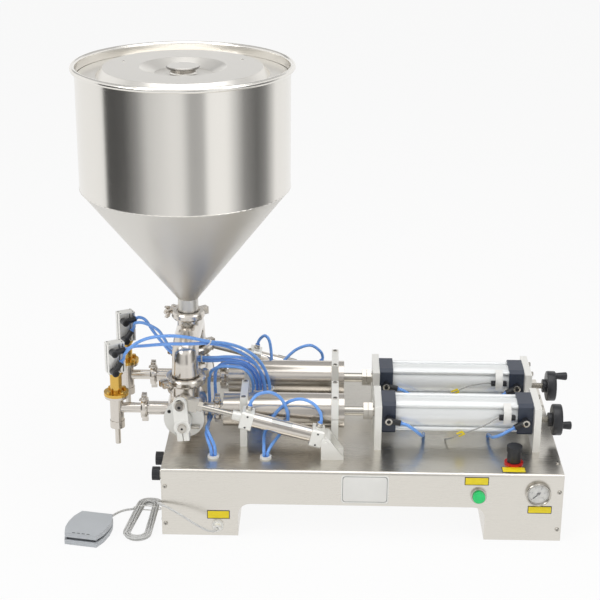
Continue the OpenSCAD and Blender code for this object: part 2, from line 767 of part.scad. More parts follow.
nut_t = 9;
washer_r = 10;
washer_t = 2;
bolt_head_r = 7;
bolt_head_t = 5;
// Rod with its piston, lock nut and eye, and the bolt that runs in the crank's slot
module actuator_rod(side) {
    piston_u = front_block_u - 14;
    bolt_out = lug_t / 2 + 2 * gap + crank_t;
    color("#d4d3d0") on_actuator(side) {
        along_x(piston_u) cylinder(r = act_bore - fit, h = 10);
        along_x(piston_u + join) cylinder(r = act_rod_r, h = act_l - lug_l - piston_u);
        along_x(act_l - lug_l - nut_t) hexagon(17, nut_t + join);
        translate([act_l - lug_l, -lug_t / 2, -lug_r]) cube([lug_l, lug_t, 2 * lug_r]);
        translate([act_l, 0, 0]) {
            along_y(-lug_t / 2) cylinder(r = lug_r, h = lug_t);
            along_y(-bolt_out - join) cylinder(r = pin_r, h = bolt_out);
            along_y(-bolt_out - washer_t) cylinder(r = washer_r, h = washer_t);
            along_y(-bolt_out - washer_t - bolt_head_t) cylinder(r = bolt_head_r, h = bolt_head_t + join);
        }
    }
}
module front_actuator_rod() { actuator_rod(-1); }
module rear_actuator_rod() { actuator_rod(1); }
// Gusset brackets for the actuators' rear pins, with the pins
cheek_t = 5;
module actuator_brackets() {
    inner = tail_t / 2 + gap;
    foot = 32;
    color(alloy) both_sides() translate([pivot_x, -act_y, base_h]) {
        for (y = [-inner - cheek_t, inner]) {
            translate([0, y + cheek_t, 0]) rotate([90, 0, 0]) linear_extrude(cheek_t)
                polygon([[-9, 0], [foot, 0], [foot, 4], [9, pivot_up + 2], [-9, pivot_up + 2]]);
            translate([0, 0, pivot_up]) along_y(y) cylinder(r = 9, h = cheek_t);
        }
        translate([10, -inner - cheek_t, 0]) cube([foot - 10, 2 * (inner + cheek_t), 4]);
        translate([0, 0, pivot_up]) along_y(-inner - cheek_t - 3)
            cylinder(r = pivot_pin_r, h = 2 * (inner + cheek_t) + 6);
    }
}

// Feed manifold: a neck from the hopper that forks into two bent legs
leg_d = 48;
leg_z = axis_z + hopper_up - 36;
bend_mid = 32;
joint_z = axis_z + feed_joint_z;
hopper_z = axis_z + hopper_up;
module legs(cut) {
    r = leg_d / 2 - cut;
    side_l = head_y - bend_mid;
    for (s = [-1, 1]) mirror([0, s > 0 ? 1 : 0, 0]) translate([valve_x, 0, 0]) {
        translate([0, 0, leg_z]) along_y(-side_l) cylinder(r = r, h = side_l);
        translate([0, -side_l, leg_z - bend_mid]) rotate([90, 0, -90]) rotate_extrude(angle = 90)
            translate([bend_mid, 0]) circle(r = r);
        translate([0, -head_y, joint_z + ferrule_t]) {
            translate([0, 0, 8])
                cylinder(r1 = feed_d / 2 - cut, r2 = r, h = leg_z - bend_mid - joint_z - ferrule_t - 8);
            translate([0, 0, -ferrule_t - cut]) cylinder(r = feed_d / 2 - cut, h = 8 + ferrule_t + cut);
        }
    }
}
module feed_manifold() {
    color(steel) difference() {
        union() {
            legs(0);
            translate([valve_x, 0, leg_z]) cylinder(d = neck_d + 4, h = hopper_z - leg_z);
            translate([valve_x, 0, hopper_z - ferrule_t]) cylinder(r = ferrule_r, h = ferrule_t);
            for (s = [-1, 1]) translate([valve_x, s * head_y, joint_z])
                cylinder(r = feed_ferrule_r, h = ferrule_t);
        }
        legs(pipe_wall);
        translate([valve_x, 0, leg_z]) cylinder(d = neck_d, h = hopper_z);
    }
}
// Clamp ring with an ear at each side; the bolt through one ear has a wing nut at its front end
ear_reach = 12;
ear_w = 16;
clamp_bolt_r = 3;
wing_r = 12;
wing_t = 4.5;
module wing_nut() {
    along_y(-20) cylinder(r = 5.5, h = 11);
    rotate([90, 0, 90]) linear_extrude(wing_t, center = true)
        polygon([[-9.5, -5], [-9.5, 5], [-14, wing_r - 1], [-20, wing_r], [-23, wing_r - 2], [-17, 4],
            [-17, -4], [-23, 2 - wing_r], [-20, -wing_r], [-14, 1 - wing_r]]);
}
module clamp(r, t, swing = 0) {
    w = 2 * t + 8;
    rotate_extrude() polygon([[r - 3, -w / 2], [r + 3.5, -w / 2], [r + 5.5, -w / 4], [r + 5.5, w / 4],
        [r + 3.5, w / 2], [r - 3, w / 2], [r - 3, t], [r, t], [r, -t], [r - 3, -t]]);
    rotate(-swing) translate([-r - ear_reach, 0, 0]) {
        for (s = [-1, 1]) translate([0, s * 6, 0]) cube([ear_w, 7, w - 3], center = true);
        along_y(-24) cylinder(r = clamp_bolt_r, h = 38);
        along_y(9) cylinder(r = 5, h = 4);
        wing_nut();
    }
    rotate(swing) translate([r + 9, 0, 0]) cube([13, 12, w], center = true);
}
hopper_clamp_swing = 36;
feed_clamp_turn = 38;
pipe_clamp_turn = 8;
port_clamp = 0.66;
module pipe_clamps() {
    color("#c4c2be") {
        translate([valve_x, 0, hopper_z]) clamp(ferrule_r, ferrule_t, hopper_clamp_swing);
        for (s = [-1, 1]) translate([valve_x, s * head_y, joint_z]) rotate(feed_clamp_turn)
            clamp(feed_ferrule_r, ferrule_t);
        both_heads() for (x = [nozzle_joint_x, barrel_joint_x]) along_x(x) rotate(pipe_clamp_turn)
            scale(port_clamp) clamp(port_ferrule_r / port_clamp, ferrule_t / port_clamp);
    }
}

// Hopper and its lid, turned about the feed axis
hopper_r = hopper_d / 2;
neck_h = 32;
cone_z = hopper_z + neck_h;
wall_z = cone_z + cone_h;
rim_z = wall_z + wall_h;
ledge_z = rim_z - 16;
ledge_w = 6;
module hopper_cone() {
    t = hopper_wall;
    color("#cfcdc9") translate([valve_x, 0, 0]) rotate_extrude($fn = 96)
        polygon([[neck_d / 2 - t, hopper_z], [ferrule_r, hopper_z], [ferrule_r, hopper_z + ferrule_t],
            [neck_d / 2, hopper_z + ferrule_t], [neck_d / 2, cone_z], [hopper_r, wall_z],
            [hopper_r - t, wall_z], [neck_d / 2 - t, cone_z + 1]]);
}
module hopper_wall_ring() {
    t = hopper_wall;
    color("#cfcdc9") translate([valve_x, 0, 0]) rotate_extrude($fn = 96) {
        polygon([[hopper_r - t, wall_z], [hopper_r, wall_z], [hopper_r, rim_z], [hopper_r - t, rim_z],
            [hopper_r - t, ledge_z], [hopper_r - t - ledge_w, ledge_z],
            [hopper_r - t - ledge_w, ledge_z - 2], [hopper_r - t, ledge_z - 8]]);
        translate([hopper_r + rim_d / 2 - t, rim_z]) circle(d = rim_d);
    }
}
lid_t = 2;
step_r = hopper_r * 0.8;
dish_r = hopper_r * 0.41;
step_h = 13;
dish_z = step_h - 12;
lid_knob_r = 30;
lid_knob_h = 13;
lid_neck_r = 22;
module hopper_lid() {
    r = hopper_r - hopper_wall - 1;
    z = ledge_z + 0.3;
    floor_z = dish_z + lid_t;
    top_z = floor_z + lid_knob_h;
    color("#d2d0cc") translate([valve_x, 0, z]) rotate_extrude($fn = 96) {
        polygon([[0, dish_z], [dish_r - 26, dish_z], [dish_r, step_h], [step_r - 12, step_h],
            [step_r, 0], [r, 0], [r, lid_t], [step_r + 1, lid_t], [step_r - 11, step_h + lid_t],
            [dish_r - 1, step_h + lid_t], [dish_r - 27, floor_z], [lid_neck_r + 2, floor_z],
            [lid_neck_r, floor_z + 3], [lid_neck_r, top_z - 5], [lid_knob_r - 2, top_z - 4],
            [lid_knob_r, top_z - 2], [lid_knob_r - 2, top_z], [0, top_z]]);
    }
}

// Nozzles: tube with side pipe, tip, brass bonnet, small air cylinder and plunger
tube_top = 27;
tube_bottom = -25;
tip_top = tube_bottom;
tip_low = -73;
collar_h = 14;
bonnet_h = 45;
flange_r = 23;
plunger_r = 4;
chamber_r = nozzle_d / 2 - pipe_wall;
air_block = [20, 32, 59];
block_turn = 30;
block_z = tube_top + bonnet_h;
block_bore = 8;
module at_nozzles() { for (side = [-1, 1]) translate([nozzle_x, side * head_y, axis_z]) children(); }
module nozzle_tubes() {
    color(satin) at_nozzles() difference() {
        union() {
            translate([0, 0, tube_bottom]) cylinder(d = nozzle_d, h = tube_top - tube_bottom);
            translate([0, 0, tube_top - 5]) cylinder(r = flange_r - 1, h = 5);
            along_x(0) cylinder(d = side_d, h = nozzle_joint_x - nozzle_x);
            along_x(nozzle_joint_x - nozzle_x - ferrule_t) cylinder(r = port_ferrule_r, h = ferrule_t);
        }
        translate([0, 0, tube_bottom - 1]) cylinder(r = chamber_r, h = tube_top - tube_bottom + 2);
        along_x(0) cylinder(r = port_bore, h = nozzle_joint_x - nozzle_x + 1);
    }
}
module nozzle_tips() {
    color(satin) at_nozzles() difference() {
        union() {
            translate([0, 0, tip_top - collar_h]) cylinder(d = nozzle_d + 2, h = collar_h);
            translate([0, 0, tip_low]) cylinder(d = tip_d, h = tip_top - collar_h - tip_low + join);
        }
        translate([0, 0, tip_top - collar_h + 4]) cylinder(r = chamber_r, h = collar_h);
        translate([0, 0, tip_low - 1]) cylinder(r = tip_d / 2 - 1.2, h = 60);
    }
}
module nozzle_bonnets() {
    color(brass) at_nozzles() translate([0, 0, tube_top]) difference() {
        union() {
            cylinder(r = flange_r, h = 6);
            cylinder(r = 11, h = bonnet_h);
            for (k = [0 : 3]) rotate(45 + 90 * k) translate([17, 0, 5]) hexagon(8, 5);
        }
        translate([0, 0, -1]) cylinder(r = plunger_r + fit, h = bonnet_h + 2);
    }
}
module nozzle_cylinders() {
    color(alloy) at_nozzles() translate([0, 0, block_z]) rotate(block_turn) difference() {
        translate([-air_block.y / 2, -air_block.x / 2, 0]) cube([air_block.y, air_block.x, air_block.z]);
        translate([0, 0, 4]) cylinder(r = block_bore, h = lift + 14);
        translate([0, 0, -1]) cylinder(r = plunger_r + fit, h = 8);
    }
}
module plunger(side) {
    seat = tip_top - collar_h + 4;
    color("#dadada") translate([nozzle_x, side * head_y, axis_z]) {
        translate([0, 0, block_z + 6]) cylinder(r = block_bore - fit, h = 8);
        translate([0, 0, seat + 4]) cylinder(r = plunger_r, h = block_z + 7 - seat - 4);
        translate([0, 0, seat + 0.3]) cylinder(r = chamber_r - 3, h = 5);
    }
}
module front_plunger() { plunger(-1); }
module rear_plunger() { plunger(1); }

// Push-in elbows for the hoses: a bright banjo bolt and a black sleeve
sleeve_l = 22;
module elbow(lean) {
    cylinder(r = 6.5, h = 14);
    translate([0, 0, 8]) rotate([0, 90, lean]) cylinder(r = 5.5, h = sleeve_l);
}
cap_mid_in = air_x + cap_in_t / 2;
cap_mid_out = tube_end + cap_out_t / 2;
module elbow_fittings() {
    color(black) {
        for (y = [-head_y, head_y]) translate([0, y - cap_w / 2, axis_z]) rotate([90, 0, 0]) {
            translate([cap_mid_in, 0, 0]) elbow(-14);
            translate([cap_mid_out, 0, 0]) elbow(210);
        }
        at_nozzles() rotate(block_turn) translate([-9, -air_block.x / 2, block_z]) rotate([90, 0, 0]) {
            translate([0, air_block.z - 14, 0]) elbow(8);
            translate([0, 7, 0]) elbow(52);
        }
    }
}

// Air hoses, each along its own points, held in a fitting or a bush at both ends.
// Heights count from the top plate; those of one head count from its axis along Y.
hose_d = 6;
hose_steps = 2;
top = 0.1;
sleeve_y = -cap_w / 2 - 8;
cap_hose_in = [[70.6, sleeve_y, axis_up - 5.4], [82, -39, 48], [95, -38, 39], [105, -32, 28],
    [112, -18, 17], [116, 2, 11], [117, 14, 6], [117, 16, top]];
cap_hose_out = [[279.7, sleeve_y, axis_up - 11.2], [268, -39, 39], [256, -38, 31], [247, -32, 24],
    [241, -18, 16], [238, 2, 11], [237, 14, 6], [237, 16, top]];
front_upper_hose = [[-433.1, -84.7, 177.2], [-426.2, -80.7, 178.3], [-416, -81, 182], [-398, -92, 188],
    [-374, -103, 195], [-345, -110, 200], [-314, -109, 200], [-281, -91, 194], [-253, -68, 180],
    [-229, -46, 160], [-206, -30, 137], [-190, -21, 110], [-183, -14, 84], [-181, -10, 58], [-181, -8, 28],
    [-181, -8, top]];
front_lower_hose = [[-440.5, -89, 154.1], [-436.3, -86.5, 160.4], [-433, -94, 172], [-419, -101, 190],
    [-399, -110, 206], [-376, -115, 215], [-344, -118, 219], [-313, -115, 215], [-280, -98, 201],
    [-247, -72, 186], [-220, -47, 166], [-197, -31, 142], [-182, -20, 114], [-174, -14, 85], [-172, -10, 58],
    [-172, -8, 28], [-172, -8, top]];
rear_upper_hose = [[-433.1, 67.3, 177.2], [-426.2, 71.3, 178.3], [-414, 68, 174], [-397, 46, 160],
    [-376, 18, 147], [-357, -4, 138], [-329, -20, 133], [-298, -28, 133], [-274, -30, 134], [-251, -28, 135],
    [-223, -24, 130], [-203, -18, 114], [-193, -10, 90], [-190, -4, 63], [-190, -1, 28], [-190, -1, top]];
rear_lower_hose = [[-440.5, 63, 154.1], [-436.3, 65.5, 160.4], [-433, 57, 172], [-414, 43, 178],
    [-387, 28, 171], [-373, 10, 161], [-362, -4, 151], [-343, -16, 145], [-320, -25, 142], [-298, -31, 141],
    [-274, -34, 142], [-251, -32, 143], [-221, -26, 138], [-197, -16, 119], [-187, -5, 90], [-183, -1, 63],
    [-183, 2, 28], [-183, 2, top]];
bush_low_hose = [[-272.2, bush_y, top], [-274, bush_y + 1, 16], [-280, bush_y + 9, 30], [-284, -132, 35],
    [-283, -104, 31], [-284, -74, 27], [-286, -50, 33], [-285, -35, 56], [-286, -33, 88], [-282, -37, 113],
    [-266, -41, 126], [-247, -40, 127], [-224, -35, 122], [-210, -27, 106], [-204, -18, 83], [-204, -13, 58],
    [-204, -11, 28], [-204, -11, top]];
bush_high_hose = [[-265.8, bush_y, top], [-267, bush_y + 2, 20], [-276, bush_y + 10, 38], [-283, -132, 44],
    [-283, -104, 39], [-280, -74, 37], [-276, -46, 43], [-274, -30, 60], [-275, -25, 88], [-273, -24, 111],
    [-263, -22, 123], [-247, -19, 125], [-224, -15, 120], [-208, -9, 106], [-199, -2, 83], [-197, 4, 58],
    [-197, 7, 28], [-197, 7, top]];
module hoses(paths) {
    color(blue) translate([0, 0, base_h]) for (p = paths) swept(smooth(p, hose_steps), hose_d);
}
module air_hoses() {
    hoses([front_upper_hose, front_lower_hose, rear_upper_hose, rear_lower_hose,
        bush_low_hose, bush_high_hose]);
    for (s = [-1, 1]) translate([0, s * head_y, 0]) hoses([cap_hose_in, cap_hose_out]);
}
front_hose_a = [[-202.6, -act_out, 96.3], [-200.8, -act_out, 103], [-193, -63, 113], [-181, -60, 118],
    [-165, -56, 117],
    [-149, -52, 105], [-139, -49, 85], [-135, -46, 65], [-138, -45, 47], [-150, -51, 31], [-163, -70, 20],
    [-170, -82, 11], [-170.8, -bush_out, top]];
front_hose_b = [[-75.7, -act_out, 63.7], [-74, -act_out, 70.5], [-77, -64, 84], [-90, -59, 98],
    [-111, -50, 102], [-132, -41, 93],
    [-149, -38, 78], [-162, -39, 61], [-172, -41, 45], [-178, -52, 31], [-178, -72, 20], [-177.4, -83, 11],
    [-177.2, -bush_out, top]];
rear_hose_a = [[-202.6, act_out, 96.3], [-200.8, act_out, 103], [-195, 64, 112], [-187, 60, 117],
    [-179, 54, 108], [-175, 48, 80],
    [-176, 44, 52], [-178, 53, 32], [-178, 73, 20], [-177.4, 83, 11], [-177.2, bush_out, top]];
rear_hose_b = [[-75.7, act_out, 63.7], [-74, act_out, 70.5], [-79, 64, 84], [-98, 60, 98],
    [-124, 55, 92], [-146, 49, 74],
    [-163, 44, 52], [-169, 49, 33], [-171, 68, 21], [-170.8, 83, 11], [-170.8, bush_out, top]];
module front_actuator_hoses() { translate([0, -head_y, 0]) hoses([front_hose_a, front_hose_b]); }
module rear_actuator_hoses() { translate([0, head_y, 0]) hoses([rear_hose_a, rear_hose_b]); }

// Foot pedal on the bench, left of the base: the treadle stands a little open on its hinge
pedal_at = [-493, -213, 0];
pedal_turn = -11;
pedal_floor = 3;
pedal_wall = 3;
pedal_open = 3;
hinge_y = 38;
hinge_z = pedal_base_h - 3;
hinge_r = 2;
hinge_l = 60;
ear = [5, 9, pedal_base_h];
ear_x = 26.5;
lug = [44, 8, pedal_base_h];
cord_hole_x = 22;
cord_hole_z = 5;
module pedal_2d(inset) {
    l = pedal_l / 2 - inset;
    e = pedal_end_w / 2 - inset;
    m = pedal_mid_w / 2 - inset;
    polygon([[-e, -l], [e, -l], [m - 2, -l / 2], [m, 0], [m - 2, l / 2],
        [e, l], [-e, l], [2 - m, l / 2], [-m, 0], [2 - m, -l / 2]]);
}
module on_pedal() { translate(pedal_at) rotate(pedal_turn) children(); }
module pedal_base() {
    color("#8f9498") on_pedal() difference() {
        union() {
            difference() {
                linear_extrude(pedal_base_h) pedal_2d(0);
                translate([0, 0, pedal_floor]) linear_extrude(pedal_base_h) pedal_2d(pedal_wall);
            }
            for (s = [-1, 1]) translate([s * ear_x - ear.x / 2, hinge_y - ear.y / 2, 0]) cube(ear);
            translate([0, hinge_y, hinge_z]) along_x(-hinge_l / 2) cylinder(r = hinge_r, h = hinge_l);
        }
        translate([cord_hole_x, 0, cord_hole_z]) along_y(pedal_l / 2 - pedal_wall - 1)
            cylinder(d = cord_d, h = pedal_wall + 2);
    }
}
module treadle() {
    color(grey) on_pedal() translate([0, hinge_y, hinge_z]) rotate([-pedal_open, 0, 0]) difference() {
        translate([0, -hinge_y, -hinge_z]) {
            translate([0, 0, pedal_base_h + 2 * gap]) linear_extrude(treadle_t) pedal_2d(0.5);
            translate([-lug.x / 2, hinge_y - lug.y / 2, pedal_floor + gap]) cube(lug);
        }
        along_x(-lug.x) cylinder(r = hinge_r + fit, h = 2 * lug.x);
    }
}
cord_z = cord_d / 2 + 0.1;
pedal_cord_points = [[-463.2, -174.8, 5], [-460.5, -161, 4.5], [-456, -148, 3], [-448, -136, cord_z],
    [-437, -128, cord_z], [-425, -124, cord_z], [-417, -118, cord_z], [-415, -110.7, cord_z]];
base_cord_points = [[gland_x, front_y - 2, gland_z], [gland_x, front_y - 8, gland_z],
    [gland_x, front_y - 15, gland_z], [-262, -234, 21.6], [-268, -240, 24], [-279, -243, 29],
    [-300, -240, 40], [-325, -231, 52], [-348, -222, 61], [-363, -216, 64], [-367.5, -203, 61],
    [-369, -180, 50], [-370, -153, 35], [-371.5, -128, 21], [-375, -107, 11.5], [-383, -95, 7.6],
    [-394.5, -91.2, 6.7]];
module cord_ends() {
    color(grey) for (p = [pedal_cord_points, base_cord_points]) swept(smooth(p, 3), cord_d);
}

// Hank: loops nested towards the inside, then outwards again on a second layer
hank_tie = [-396, -112];
hank_end = [-404, -216];
hank_tie_r = 19;
hank_end_r = 25;
hank_step = 4.7;
hank_layer = 4.6;
hank_turns = 5.125;
climb_at = 2.25;
climb_for = 0.25;
function hank_inset(t) = hank_step * (t < climb_at ? t : min(climb_at, 2 * climb_at + climb_for - t));
function mix(a, b, f) = a + (b - a) * f;
function hank_point(t) =
    let (f = t - floor(t), d = hank_inset(t), a = unit(hank_end - hank_tie), n = [a.y, -a.x],
        r0 = hank_tie_r - d, r1 = hank_end_r - d, q = 4 * (f * 4 - floor(f * 4)) / 4,
        p = f < 0.25 ? hank_tie + r0 * (cos(180 * q) * n - sin(180 * q) * a)
            : f < 0.5 ? mix(hank_tie - r0 * n, hank_end - r1 * n, q)
            : f < 0.75 ? hank_end + r1 * (-cos(180 * q) * n + sin(180 * q) * a)
            : mix(hank_end + r1 * n, hank_tie + r0 * n, q))
    [p.x, p.y, cord_z + hank_layer * min(1, max(0, (t - climb_at) / climb_for))];
hank_rings = 24;
hank_path = [for (k = [0 : hank_turns * hank_rings]) hank_point(k / hank_rings)];
hank_gap = min([for (i = [0 : len(hank_path) - 1], j = [i + 6 : 1 : len(hank_path) - 1])
    norm(hank_path[i] - hank_path[j])]) - cord_d;
module cord_hank() {
    echo(str("least gap in the hank: ", hank_gap, " mm"));
    color(grey) swept(hank_path, cord_d, 6);
}

base_shell();
base_panels();
bottom_tray();
cable_bushes();
air_controls();
regulator_ring();
gauge_case();
button_bezel();
speed_control_bodies();
air_inlet();
barrel_plates();
barrel_caps();
cylinder_plates();
product_barrels();
cylinder_tubes();
cylinder_caps();
tie_rods();
elbow_fittings();
valve_bodies();
valve_covers();
feed_manifold();
hopper_cone();
hopper_wall_ring();
pipe_clamps();
nozzle_tubes();
nozzle_tips();
nozzle_bonnets();
nozzle_cylinders();
actuator_brackets();
air_hoses();
front_actuator_hoses();
rear_actuator_hoses();
pedal_base();
cord_hank();
cord_ends();
hopper_lid();
front_piston_rod();
front_pistons();
rear_piston_rod();
rear_pistons();
front_stop_pad();
front_handwheel();
rear_stop_pad();
rear_handwheel();
front_valve_rotor();
front_crank();
rear_valve_rotor();
rear_crank();
front_actuator_barrel();
front_actuator_rod();
rear_actuator_barrel();
rear_actuator_rod();
front_plunger();
rear_plunger();
start_button();
regulator_knob();
front_speed_knob();
rear_speed_knob();
treadle();
gauge_needle();
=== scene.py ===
"""Bench-top pneumatic filling machine with two piston heads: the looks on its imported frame.

Laid out as an add-on: sizes and colours are properties, each group of pieces has an operator, and main()
calls them in order. Lengths are millimetres in the frame's axes, +X to the handwheels, +Y to the back and
+Z up; piece() turns them to metres.
"""
import math

import bmesh
import bpy
import numpy as np
from bpy.props import FloatProperty, FloatVectorProperty, IntProperty, PointerProperty
from mathutils import Matrix, Vector


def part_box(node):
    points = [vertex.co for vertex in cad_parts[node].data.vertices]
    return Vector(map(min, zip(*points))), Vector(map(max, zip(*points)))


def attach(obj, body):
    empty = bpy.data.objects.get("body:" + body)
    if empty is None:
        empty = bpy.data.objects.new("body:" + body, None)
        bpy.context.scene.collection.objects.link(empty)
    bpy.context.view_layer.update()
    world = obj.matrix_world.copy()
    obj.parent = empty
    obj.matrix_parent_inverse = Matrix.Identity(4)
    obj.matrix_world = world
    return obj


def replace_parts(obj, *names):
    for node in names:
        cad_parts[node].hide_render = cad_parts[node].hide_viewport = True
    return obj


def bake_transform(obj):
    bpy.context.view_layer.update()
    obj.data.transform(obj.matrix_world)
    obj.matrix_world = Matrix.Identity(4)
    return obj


bl_info = {
    "name": "Pneumatic filling machine",
    "version": (1, 0, 0),
    "blender": (4, 5, 0),
    "location": "3D View > Sidebar > Filler",
    "description": "Builds the visual model of a two-head piston filler on its packed frame",
    "category": "Object",
}

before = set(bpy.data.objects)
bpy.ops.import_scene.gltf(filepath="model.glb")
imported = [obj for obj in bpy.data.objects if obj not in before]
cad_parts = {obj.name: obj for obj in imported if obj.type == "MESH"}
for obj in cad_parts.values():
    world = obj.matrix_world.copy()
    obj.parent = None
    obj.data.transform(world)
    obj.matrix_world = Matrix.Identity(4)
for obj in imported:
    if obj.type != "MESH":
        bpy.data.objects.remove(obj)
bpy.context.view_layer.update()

MM = 0.001
X, Y, Z = np.eye(3)


def node_box(name):
    """Low and high corner of one of the frame's nodes."""
    return np.array([list(corner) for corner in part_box(name)]) / MM


TOP = node_box("base_shell")[1, 2]
FRONT, BACK = node_box("base_shell")[:, 1]
LEFT, RIGHT = node_box("base_panels")[:, 0]
SIDES, SIGNS = ("front", "rear"), (-1, 1)
# The heads in Y, their axes in Z, the valves and the nozzles in X
HEADS, AXIS, FEED_X, NOZZLE_X = (-76, 76), 189, -325, -454
# How far a head is sunk into the face that it stands on
SUNK = 0.1


def linear(code):
    """Linear colour with alpha 1 of an sRGB hex value."""
    v = np.array([int(code[i:i + 2], 16) for i in (0, 2, 4)]) / 255
    return (*np.where(v > 0.04045, ((v + 0.055) / 1.055) ** 2.4, v / 12.92).tolist(), 1.0)


def length(name, default, text):
    """A length property with its default in millimetres."""
    return FloatProperty(name=name, description=text, default=default * MM, min=0.0001, unit="LENGTH")


def colour(name, code, text):
    """A colour property with its default as an sRGB hex value."""
    return FloatVectorProperty(name=name, description=text, default=linear(code), size=4, min=0, max=1,
                               subtype="COLOR")


class FillerSizes(bpy.types.PropertyGroup):
    """Sizes of the pieces that the frame leaves to the looks."""

    hose_d: length("Hose diameter", 6, "Outside diameter of the blue air hoses")
    cord_d: length("Cord diameter", 4, "Outside diameter of the pedal's cord")
    lead_d: length("Sensor lead diameter", 2.6, "Outside diameter of the sensors' leads")
    panel_screw_d: length("Panel screw head", 8, "Head diameter of the screws in the base's panels")
    bolt_d: length("Plate bolt head", 9, "Head diameter of the socket bolts in the standing plates")
    label_t: length("Label thickness", 0.6, "Thickness of the bare labels")
    dial_r: length("Dial radius", 18.8, "Radius of the gauge's dial")
    tie_w: length("Tie width", 2.6, "Width of the hose ties")
    hose_sides: IntProperty(name="Hose sides", description="Points round a hose", default=16, min=8, max=48)


class FillerColours(bpy.types.PropertyGroup):
    """Colours of the finishes."""

    sheet: colour("Base sheet", "dcd8d0", "Brushed stainless sheet of the base")
    hopper: colour("Hopper", "e9e6e0", "Polished stainless sheet of the hopper and lid")
    pipe: colour("Pipe", "d6d0c8", "Polished stainless pipe and clamps")
    alloy: colour("Plates", "f3f2ed", "Satin anodised plates and blocks")
    air_tube: colour("Air tube", "f1f3f3", "Drawn aluminium tube of the air cylinders")
    chrome: colour("Rods", "bfbbb3", "Chromed rods, nuts and bezels")
    navy: colour("Cylinder caps", "343c4c", "Enamel on the cylinder caps")
    brass: colour("Brass", "d9b25e", "Turned brass")
    hose: colour("Hose", "77aeff", "Polyurethane air hose")
    cord: colour("Cord", "d0d0ce", "Sheath of the pedal's cord")
    pedal: colour("Pedal", "c0c4c8", "Enamel on the foot pedal")
    black: colour("Black plastic", "26272b", "Knobs, handwheels and fittings")
    white: colour("White plastic", "efeeea", "Bushes, gland and ties")
    red: colour("Red plastic", "c8261f", "Regulator ring")
    green: colour("Green plastic", "14d873", "Start button")
    yellow: colour("Label yellow", "f6de1c", "Print on the labels")


# Surfaces, each as its points and the rows of its faces

def unit(v):
    """Vectors of length one, along the last axis."""
    v = np.asarray(v, float)
    return v / np.linalg.norm(v, axis=-1, keepdims=True)


def across(axis):
    """Two unit vectors square to an axis and to each other."""
    axis = unit(axis)
    u = unit(np.cross(axis, X if abs(axis[0]) < 0.8 else Y))
    return u, np.cross(axis, u)


def circle(sides):
    """Angles evenly round a circle, as a column."""
    return 2 * np.pi * np.arange(sides)[:, None] / sides


def around(a, u, v):
    """Vectors at angle a from u towards v: cos a * u + sin a * v."""
    return np.cos(a) * u + np.sin(a) * v


def loft(rings, closed=False):
    """Skin over m rings of n points: quads join ring i to i + 1; open ends get a fan to their middle."""
    rings = np.asarray(rings, float)
    m, n, _ = rings.shape
    k = np.arange(m * n).reshape(m, n)
    after = np.roll(k, -1, axis=1)
    if closed:
        up, up_after = np.roll(k, -1, axis=0), np.roll(after, -1, axis=0)
        return rings.reshape(-1, 3), [np.stack([k, after, up_after, up], -1).reshape(-1, 4)]
    quads = np.stack([k[:-1], after[:-1], after[1:], k[1:]], -1).reshape(-1, 4)
    first = np.stack([after[0], k[0], np.full(n, m * n)], -1)
    last = np.stack([k[-1], after[-1], np.full(n, m * n + 1)], -1)
    return np.concatenate([rings.reshape(-1, 3), rings[[0, -1]].mean(axis=1)]), [quads, first, last]


def turned(profile, base, axis, sides=32, closed=False):
    """Turned form: p(a, i) = base + h_i * axis + r_i * (cos a * u + sin a * v) for profile rows (r, h)."""
    r, h = np.asarray(profile, float).T[:, :, None, None]
    return loft(base + h * unit(axis) + r * around(circle(sides), *across(axis)), closed)


def smooth(points, steps):
    """Catmull-Rom curve: between b and c it is (2b + (c-a)t + (2a-5b+4c-d)t^2 + (3b-a-3c+d)t^3) / 2."""
    p = np.asarray(points, float)
    p = np.concatenate([[2 * p[0] - p[1]], p, [2 * p[-1] - p[-2]]])
    a, b, c, d = (p[i:len(p) - 3 + i, None] for i in range(4))
    t = np.linspace(0, 1, steps, endpoint=False)[None, :, None]
    curve = 2 * b + (c - a) * t + (2 * a - 5 * b + 4 * c - d) * t ** 2 + (3 * b - a - 3 * c + d) * t ** 3
    return np.concatenate([curve.reshape(-1, 3) / 2, p[-2:-1]])


# Directions all round a point
SPREAD = unit(np.stack(np.meshgrid(*[np.linspace(-1, 1, 6)] * 3), -1).reshape(-1, 3))


def swept(path, radius, sides, closed=False):
    """Round tube: p(s, a) = path(s) + radius * (cos a * n + sin a * b), with n square to the path and to
    the direction of SPREAD that the path runs along least."""
    path = np.asarray(path, float)
    if closed:
        t = unit(np.roll(path, -1, axis=0) - np.roll(path, 1, axis=0))
    else:
        t = unit(np.gradient(path, axis=0))
    far = SPREAD[np.abs(t @ SPREAD.T).max(axis=0).argmin()]
    n = unit(np.cross(t, far))
    b = np.cross(t, n)
    return loft(path[:, None] + radius * around(circle(sides), n[:, None], b[:, None]), closed)


# Points of a rounded corner and of an eased edge, and the least radius of a corner
CORNER_POINTS, EASE_POINTS, LEAST_CORNER = 5, 3, 0.05


def rounded(w, h, r):
    """Outline of a rectangle w x h with corners of radius r: a corner's centre plus r * (cos a, sin a)."""
    a = np.linspace(0, np.pi / 2, CORNER_POINTS)
    a = (a + np.pi / 2 * np.arange(4)[:, None]).reshape(-1)
    quarter = np.repeat([[1, 1], [-1, 1], [-1, -1], [1, -1]], CORNER_POINTS, axis=0)
    return quarter * [w / 2 - r, h / 2 - r] + r * np.stack([np.cos(a), np.sin(a)], -1)


